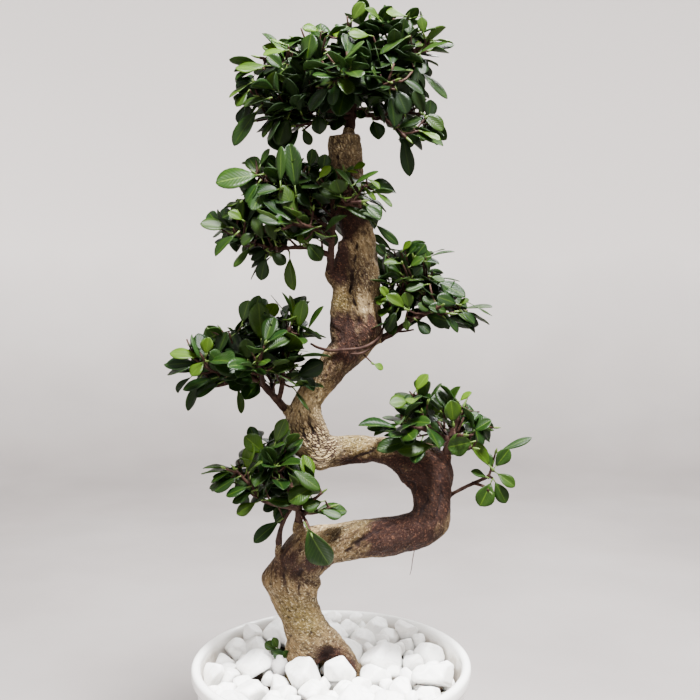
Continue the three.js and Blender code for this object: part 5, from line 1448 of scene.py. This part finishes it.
class FICUS_OT_trunk(bpy.types.Operator):
    """Adds the trunk: limbs, roots and stubs fused into one skin, then furrowed like bark"""

    bl_idname = "ficus.trunk"
    bl_label = "Trunk"

    def execute(self, context):
        settings = context.scene.ficus
        bm = bmesh.new()
        add_limb(bm, wood_rings(TRUNK, 4), 40, swollen)
        for root in ROOTS:
            add_limb(bm, wood_rings(root, 6), 24, swollen)
        for strand in STRANDS:
            add_limb(bm, wood_rings(strand, 6), 20)
        for branches in PADS.values():
            for main_branch in branches:
                if main_branch.seat:
                    add_stub(bm, main_branch)
        fuse(bm, settings.bark_cell / MM)
        even_out(bm, 5)
        places = unroll(bm, wood_rings(TRUNK, 2))
        bm.normal_update()
        sunk = crease_moves(bm)
        moves = [vert.normal * (settings.bark_relief * bark_height(place) - depth)
                 for vert, place, depth in zip(bm.verts, places, sunk)]
        for vert, move in zip(bm.verts, moves):
            vert.co += move
        self.paint_bark(bm, places, sunk)
        finish_piece("barked_trunk", bm, [living_bark(settings)], ["trunk"])
        return {"FINISHED"}

    def paint_bark(self, bm, places, sunk):
        """Stores each vert's unrolled place and what its bark is like."""
        grain = bm.verts.layers.float_vector.new("grain")
        hollow = bm.verts.layers.float.new("hollow")
        cut = bm.verts.layers.float.new("cut")
        for name, zones in BARK_ZONES.items():
            share = bm.verts.layers.float.new(name)
            for vert in bm.verts:
                vert[share] = min(1, sum(mound(vert.co, *zone) for zone in zones
                                         if abs(vert.co.z - zone[2]) < 2.5 * zone[3]))
        evened = bm.copy()
        even_out(evened, 14)
        bm.normal_update()
        top = Vector(TRUNK[-1][:3])
        for vert, even, place, depth in zip(bm.verts, evened.verts, places, sunk):
            vert[grain] = place * MM
            # How far a vert lies in a hollow or fold, which gives it dirt and painted shade
            dip = (even.co - vert.co).dot(vert.normal)
            vert[hollow] = min(max(0.5 + dip / FULL_DIP + depth / FULL_FOLD, 0), 1)
            # The sawn top shows wood but for a dark core, a little off the middle
            if vert.co.z > top.z - 2.5 and vert.normal.z > 0.5:
                vert[cut] = math.hypot(vert.co.x - top.x - 6, vert.co.y - top.y) > CORE_RADIUS
        evened.free()


class FICUS_OT_aerial_roots(bpy.types.Operator):
    """Adds the thin aerial roots that wrap the bark or hang from it"""

    bl_idname = "ficus.aerial_roots"
    bl_label = "Aerial roots"

    def execute(self, context):
        bm = bmesh.new()
        for line in AERIAL_ROOTS:
            add_limb(bm, wood_rings(line, 3), 8)
        finish_piece("aerial_roots", bm, [twig_bark(context.scene.ficus)])
        return {"FINISHED"}


# Leaves

class Crowd:
    """Points kept in cubes, so that those near another point are found quickly."""

    def __init__(self, room):
        self.room = room
        self.cubes = {}

    def cube(self, point):
        return tuple(math.floor(value / self.room) for value in point)

    def add(self, points):
        for point in points:
            self.cubes.setdefault(self.cube(point), []).append(point)

    def is_near(self, point):
        x, y, z = self.cube(point)
        return any((other - point).length <= self.room
                   for i in (x - 1, x, x + 1) for j in (y - 1, y, y + 1)
                   for k in (z - 1, z, z + 1) for other in self.cubes.get((i, j, k), ()))


def on_midrib(leaf, share):
    """A point on a leaf's midrib, at a share of its length."""
    return (leaf.base + leaf.along * (share * leaf.length)
            - leaf.face * (LEAF_ARCH * leaf.length * share * share))


def leaves_on(twig, middle, random, length, spacing, fewest=FEWEST_LEAVES, outward=0.7):
    """Leaves along a twig, each a golden angle on from the last, closing in towards its tip."""
    rings = route(twig.route, [1, 1], LEAF_STEPS)
    reach = curve_length(twig.route) * (1 - twig.bare)
    count = max(fewest, math.floor(reach / spacing + 0.5))
    start = next(random) * math.tau
    for i in range(count):
        share = (i + 1) / count
        ring = rings[math.floor((twig.bare + (1 - twig.bare) * share) * LEAF_STEPS + 0.5)]
        around = start + i * GOLDEN_ANGLE + 0.5 * (next(random) - 0.5)
        lean = math.radians(lerp(FIRST_SPREAD, LAST_SPREAD, share)
                            + SPREAD_RANGE * (next(random) - 0.5))
        along = leaning(ring, lean, around)
        along.z -= LEAF_SAG
        along.normalize()
        face = Vector((0.7 * (next(random) - 0.5), 0.7 * (next(random) - 0.5), 0.7))
        face = squared(face + outward * (ring.centre - middle).normalized(), along)
        size = length * (0.82 + 0.36 * next(random)) * (1 - 0.3 * share ** 4)
        yield Leaf(ring.centre, along, face, size, share)


def wood_pieces(name):
    """Every straight piece of wood that the leaves of one pad keep off."""
    lines = [*TRUNK_LINES]
    for other, branches in PADS.items():
        if other != name:
            lines += [[(p, each.radius) for p in each.route] for each in branches]
    return [(a, b, ra, rb) for line in lines for (a, ra), (b, rb) in zip(line, line[1:])]


TRUNK_LINES = [[(Vector(p[:3]), p[3]) for p in line] for line in [TRUNK, *ROOTS, *STRANDS]]


def is_clear(leaf, wood, clearance):
    """Whether a leaf keeps off the bark and off the other pads' branches."""
    for share in WOOD_PROBES:
        point = on_midrib(leaf, share)
        for start, end, start_radius, end_radius in wood:
            nearest, radius = nearest_on(point, start, end, start_radius, end_radius)
            if (nearest - point).length <= radius + clearance:
                return False
    return True


def side_shoots(each, random, spacing, length):
    """Short leafy shoots along a branch, which fill the pad."""
    rings = route(each.route, [1, 1], LEAF_STEPS)
    bare = each.bare * 0.6
    count = math.floor(curve_length(each.route) * (1 - bare) / spacing)
    start = next(random) * math.tau
    for i in range(count):
        share = bare + (1 - bare) * (i + next(random)) / count
        ring = rings[math.floor(share * LEAF_STEPS)]
        lean = math.radians(SHOOT_SPREAD + SHOOT_RANGE * (next(random) - 0.5))
        along = leaning(ring, lean, start + i * GOLDEN_ANGLE)
        reach = length * (0.7 + 0.6 * next(random))
        lift = Vector((0, 0, reach * 0.25))
        yield branch(SHOOT_RADIUS, 0.3, ring.centre, ring.centre + along * (reach / 2) + lift / 3,
                     ring.centre + along * reach + lift)


def shoot_to(tip, branches):
    """A shoot that leaves the nearest branch and bends up to a point."""
    rings = [ring for each in branches
             for ring in route(each.route, [1, 1], LEAF_STEPS)[LEAF_STEPS // 4:]]
    start = min((ring.centre for ring in rings), key=lambda centre: (centre - tip).length)
    middle = (start + tip) / 2 + (tip - start).length * Vector((0, 0.2, -0.14))
    return Branch(1.6, 0.35, [start, middle, tip])


def leaf_between(base, tip, face, width, age):
    """A leaf from its base to its tip, with its face turned as near as it can to a direction."""
    length = (tip - base).length
    along = (tip - base) / length
    return Leaf(base, along, squared(face, along), length, age, width)


def seen(point):
    """Where a point shows in the plane through the trunk when it is seen from the front."""
    share = -EYE[1] / (point.y - EYE[1])
    return lerp(EYE[0], point.x, share), lerp(EYE[2], point.z, share)


def is_within(point, spots):
    shown = seen(point)
    return any(math.dist(shown, spot[:2]) < spot[2] for spot in spots)


def hides(points, in_sight):
    """Whether a leaf with these points stands in front of what should stay in sight."""
    return any(other.y - COVER_DEPTH < point.y < other.y
               and math.dist(seen(point), seen(other)) < COVER_RADIUS
               for point in points for other in in_sight)


def probes_of(leaf):
    return [on_midrib(leaf, share) for share in LEAF_PROBES]


def leafy_branches(name):
    return [each for each in PADS[name] if each.bare < 1]


def grow_pads(settings):
    """The leaves and side shoots of every pad: the chosen leaves, the ones that the solids have,
    and then more that fill the pads."""
    length = settings.leaf_length / MM
    spacing = settings.leaf_spacing / MM
    grown = {name: [] for name in PADS}
    shoots = {name: [] for name in PADS}
    crowd, dense = Crowd(LEAF_ROOM), Crowd(FILL_ROOM)
    chosen = []
    for name, rows in CHOSEN_LEAVES.items():
        for row in rows:
            base, tip, face = (Vector(row[k:k + 3]) for k in (0, 3, 6))
            leaf = leaf_between(base, tip, face, *row[9:])
            grown[name].append(leaf)
            shoots[name].append(shoot_to(leaf.base, leafy_branches(name)))
            chosen += probes_of(leaf)
    dense.add(chosen)
    in_sight = chosen + [Vector(point) for point in WOOD_IN_SIGHT]
    middles = {}
    for i, (name, branches) in enumerate(PADS.items()):
        random = random_numbers(LEAF_SEED + i)
        ends = [each.route[-1] for each in branches]
        low = Vector([min(end[k] for end in ends) for k in range(3)])
        high = Vector([max(end[k] for end in ends) for k in range(3)])
        middles[name] = (low + high) / 2
        wood = wood_pieces(name)
        for each in leafy_branches(name):
            for leaf in leaves_on(each, middles[name], random, length, spacing):
                probes = probes_of(leaf)
                if is_clear(leaf, wood, LEAF_CLEARANCE) and not any(
                        crowd.is_near(probe) for probe in probes):
                    crowd.add(probes)
                    if name not in CHOSEN_ONLY and not hides(probes, in_sight) and not any(
                            is_within(probe, CLEARED_SPOTS) for probe in probes):
                        grown[name].append(leaf)
                        dense.add(probes)
    for i, name in enumerate(PADS):
        if name in CHOSEN_ONLY:
            continue
        random = random_numbers(FILL_SEED + i)
        wood = wood_pieces(name)
        carried = stored([probe for leaf in grown[name] for probe in probes_of(leaf)])
        leafy = leafy_branches(name)
        more = [shoot for each in leafy for shoot in side_shoots(
            each, random, settings.shoot_spacing / MM, settings.shoot_length / MM)]
        extra = [shoot_to(Vector(tip), leafy) for tip in EXTRA_SHOOTS[name]]
        for k, shoot in enumerate(extra + more):
            kept = False
            bare_tip = is_within(shoot.route[-1], CLEARED_SPOTS)
            for leaf in leaves_on(shoot, middles[name], random, length * FILL_LENGTH,
                                  FILL_SPACING, FILL_FEWEST, outward=0.3):
                probes = probes_of(leaf)
                inside = k < len(extra) or carried.find(probes[-1])[2] < PAD_REACH
                if not inside or bare_tip or hides(probes, in_sight):
                    continue
                if is_clear(leaf, wood, FILL_CLEARANCE) and not any(
                        dense.is_near(probe) or is_within(probe, OPEN_SPOTS + CLEARED_SPOTS)
                        for probe in probes):
                    grown[name].append(leaf)
                    dense.add(probes)
                    kept = True
            if kept:
                shoots[name].append(shoot)
    return grown, shoots, middles


def blade_outline(v):
    """Half width of a blade along its length: a wedge-shaped base and a short, blunt tip."""
    return max(0.04, 3.33 * v ** 1.1 * (1 - v) ** 0.7) if 0 < v < 1 else 0.04


def blade_layers(bm):
    """Where the verts of a blade keep their place on it, its age and the painted shade that its
    place down in the pad gives it.
    """
    return (bm.loops.layers.uv.new("blade"), bm.verts.layers.float.new("age"),
            bm.verts.layers.float.new("deep"))


def add_blade(bm, leaf, width, bend, layers):
    """Adds a leaf's blade: a small grid laid along its midrib and pinched at both ends."""
    uv, age, deep = layers
    cup, twist, wave = bend
    across = leaf.along.cross(leaf.face)
    made = bmesh.ops.create_grid(bm, x_segments=BLADE_ACROSS, y_segments=BLADE_ALONG, size=0.5)
    for vert in made["verts"]:
        u, v = 2 * vert.co.x, 1 - abs(0.5 - vert.co.y) ** 1.4
        share = STALK + (1 - STALK) * v
        half = width / 2 * blade_outline(v)
        rise = (cup * half * abs(u) ** 1.4 + twist * u * half
                + wave * half * abs(u) * math.sin(9 * v + 2 * u))
        sag = LEAF_ARCH * leaf.length * share * share
        for loop in vert.link_loops:
            loop[uv].uv = vert.co.x + 0.5, v
        vert[age] = leaf.age
        vert[deep] = leaf.deep
        vert.co = (leaf.base + leaf.along * (share * leaf.length)
                   + leaf.face * (rise - sag) + across * (u * half))
    return made["verts"]


def add_stalk(bm, leaf):
    """Adds a leaf's stalk, from the twig to a little way into the blade."""
    end = on_midrib(leaf, STALK + 0.05)
    middle = (leaf.base + end) / 2
    return add_limb(bm, route([leaf.base, middle, end], [1.1, 0.75, 0.6], 2), 4)


def add_bud(bm, twig, length):
    """Adds the pointed bud at a twig's tip."""
    tip = twig.route[-1]
    along = (tip - twig.route[-2]).normalized()
    stations = [tip - along, tip + along * length / 2, tip + along * length]
    return add_limb(bm, route(stations, [1.3, 1.5, 0.3], 4), 6)


def knotty(point, axis):
    """Makes a twig's bark a little uneven."""
    off = point - axis
    return axis + off * (1 + 0.35 * noise.noise(point / 6))


def thicken(blades, settings):
    """Gives blades their thickness, with the duller skin underneath."""
    sheet = blades.modifiers.new("Thickness", "SOLIDIFY")
    sheet.thickness = settings.leaf_thickness
    sheet.offset = -1
    sheet.material_offset = 1
    sheet.material_offset_rim = 1


def leaf_depth(leaf, tops):
    """How far down in its pad a leaf lies, by how many leaves end above it; the lower ones get
    painted shade.
    """
    point = on_midrib(leaf, 0.6)
    above = [found for found, _, _ in
             tops.find_range(point + Vector((0, 0, SHADE_HEIGHT)), SHADE_RADIUS)
             if found.z > point.z + SHADE_GAP]
    return min(1, len(above) / FULL_SHADE)


def leaf_age(leaf, middle, random):
    """How young a leaf looks: the outer and upper ones of a pad are the youngest."""
    off = leaf.base + leaf.along * leaf.length - middle
    outer = min(1, math.hypot(off.x, off.y) / 110) * 0.5 + min(max(off.z / 70, 0), 1) * 0.5
    young = next(random)
    return min(1, 0.06 * young + 0.32 * outer * young ** 2 + (outer if young > 0.9 else 0))


class FICUS_OT_leaf_pads(bpy.types.Operator):
    """Adds the leafy pads: blades in one piece and their wood, stalks and buds in another"""

    bl_idname = "ficus.leaf_pads"
    bl_label = "Leaf pads"

    def execute(self, context):
        settings = context.scene.ficus
        skins = leaf_materials(settings)
        wood = [twig_bark(settings), green_stalk()]
        grown, shoots, middles = grow_pads(settings)
        for i, (name, branches) in enumerate(PADS.items()):
            random = random_numbers(PAD_SEED + i)
            tops = stored([on_midrib(leaf, 1) for leaf in grown[name]])
            aged = [leaf._replace(
                age=leaf.age if leaf.width else leaf_age(leaf, middles[name], random),
                deep=leaf_depth(leaf, tops)) for leaf in grown[name]]
            self.add_blades(settings, name, aged, skins, random)
            self.add_wood(name, branches, shoots[name], aged, wood, random)
        return {"FINISHED"}

    def add_blades(self, settings, name, leaves, skins, random):
        bm = bmesh.new()
        layers = blade_layers(bm)
        for leaf in leaves:
            width = leaf.width or (settings.leaf_width / settings.leaf_length * leaf.length
                                   * (0.88 + 0.24 * next(random)))
            bend = (0.7 * next(random) - 0.15, 0.5 * (next(random) - 0.5),
                    0.16 * (next(random) - 0.5))
            add_blade(bm, leaf, width, bend, layers)
        thicken(finish_piece(name.replace("leaves", "blades"), bm, skins, [name],
                             turn_out=False), settings)

    def add_wood(self, name, branches, shoots, leaves, materials, random):
        bm = bmesh.new()
        for each in branches:
            steps = max(4, round(curve_length(each.route) / 6))
            start, following = each.route[:2]
            stations = [start - (following - start).normalized() * 2, *each.route[1:]]
            add_limb(bm, route(stations, [each.radius, TIP_RADIUS], steps), 8, knotty)
            if each.bare < 1:
                paint_faces(add_bud(bm, each, 7 + 5 * next(random)), 1)
        for k, each in enumerate(shoots):
            add_limb(bm, route(each.route, [each.radius, 1], 3), 6)
            if k % 4 == 0:
                paint_faces(add_bud(bm, each, 4 + 4 * next(random)), 1)
        for leaf in leaves:
            paint_faces(add_stalk(bm, leaf), 1)
        finish_piece(name.replace("leaves", "twigs"), bm, materials, [name])


class FICUS_OT_sprigs(bpy.types.Operator):
    """Adds the small shoots that grow from old wood and from the foot of the trunk"""

    bl_idname = "ficus.sprigs"
    bl_label = "Sprigs"

    def execute(self, context):
        settings = context.scene.ficus
        blades, stems = bmesh.new(), bmesh.new()
        layers = blade_layers(blades)
        for stem, tips in SPRIGS:
            line = [Vector(p) for p in stem]
            add_limb(stems, route(line, [1.2, 0.8], 6), 8)
            paint_faces(add_bud(stems, Branch(1, 0, line), 3), 1)
            for tip, width, age in tips:
                leaf = leaf_between(line[-1], Vector(tip), Vector((0.2, -0.8, 0.6)), width, age)
                add_blade(blades, leaf, width, (0.2, 0.1, 0.05), layers)
                paint_faces(add_stalk(stems, leaf), 1)
        thicken(finish_piece("sprig_blades", blades, leaf_materials(settings),
                             turn_out=False), settings)
        finish_piece("sprig_stems", stems, [twig_bark(settings), green_stalk()])
        return {"FINISHED"}


class FICUS_OT_stage(bpy.types.Operator):
    """Adds the plain floor, the soft studio light and the camera"""

    bl_idname = "ficus.stage"
    bl_label = "Stage"

    def execute(self, context):
        scene = context.scene
        outline = [(0, 0), (1.2, 0), (SWEEP_START, 0),
                   *quarter_turn(SWEEP_START, SWEEP_RADIUS, 8),
                   (SWEEP_START + SWEEP_RADIUS, SWEEP_HEIGHT)]
        bm = spun(outline, 96, 0.0001)
        bmesh.ops.recalc_face_normals(bm, faces=bm.faces)
        new_object("studio_sweep", bm, [studio_paint(scene.ficus)])
        world = bpy.data.worlds.new("studio")
        world.use_nodes = True
        sky = world.node_tree.nodes["Background"]
        sky.inputs["Color"].default_value = linear("#f4f1f0")
        sky.inputs["Strength"].default_value = 0.8
        scene.world = world
        for light in LIGHTS:
            self.add_light(*light)
        self.add_camera(scene)
        return {"FINISHED"}

    def add_light(self, name, place, size, watts):
        lamp = bpy.data.lights.new(name, "AREA")
        lamp.shape = "DISK"
        lamp.size = size
        lamp.energy = watts
        light = bpy.data.objects.new(name, lamp)
        light.location = place
        aim = LIGHT_AIM - Vector(place)
        light.rotation_euler = aim.to_track_quat("-Z", "Y").to_euler()
        bpy.context.scene.collection.objects.link(light)

    def add_camera(self, scene):
        """A camera where the photograph was taken from, tilted a little down."""
        camera = bpy.data.objects.new("camera", bpy.data.cameras.new("camera"))
        camera.location = [value * MM for value in EYE]
        camera.rotation_euler = (math.radians(90 - CAMERA_TILT), 0, 0)
        camera.data.sensor_width = SENSOR
        camera.data.lens = FOCAL_LENGTH
        scene.collection.objects.link(camera)
        scene.camera = camera


class FICUS_PT_panel(bpy.types.Panel):
    """Lists the sizes, the colours and the pieces of the ficus"""

    bl_idname = "FICUS_PT_panel"
    bl_label = "Ginseng ficus"
    bl_space_type = "VIEW_3D"
    bl_region_type = "UI"
    bl_category = "Ficus"

    def draw(self, context):
        for name in FicusSettings.__annotations__:
            self.layout.prop(context.scene.ficus, name)
        for operator in OPERATORS:
            self.layout.operator(operator.bl_idname)


OPERATORS = [FICUS_OT_pot, FICUS_OT_soil, FICUS_OT_pebbles, FICUS_OT_trunk,
             FICUS_OT_aerial_roots, FICUS_OT_leaf_pads, FICUS_OT_sprigs, FICUS_OT_stage]


def register():
    for kind in [FicusSettings, *OPERATORS, FICUS_PT_panel]:
        bpy.utils.register_class(kind)
    bpy.types.Scene.ficus = PointerProperty(type=FicusSettings)


def unregister():
    del bpy.types.Scene.ficus
    for kind in reversed([FicusSettings, *OPERATORS, FICUS_PT_panel]):
        bpy.utils.unregister_class(kind)


def main():
    register()
    bpy.ops.ficus.pot()
    bpy.ops.ficus.soil()
    bpy.ops.ficus.pebbles()
    bpy.ops.ficus.trunk()
    bpy.ops.ficus.aerial_roots()
    bpy.ops.ficus.leaf_pads()
    bpy.ops.ficus.sprigs()
    bpy.ops.ficus.stage()


if __name__ == "__main__":
    main()
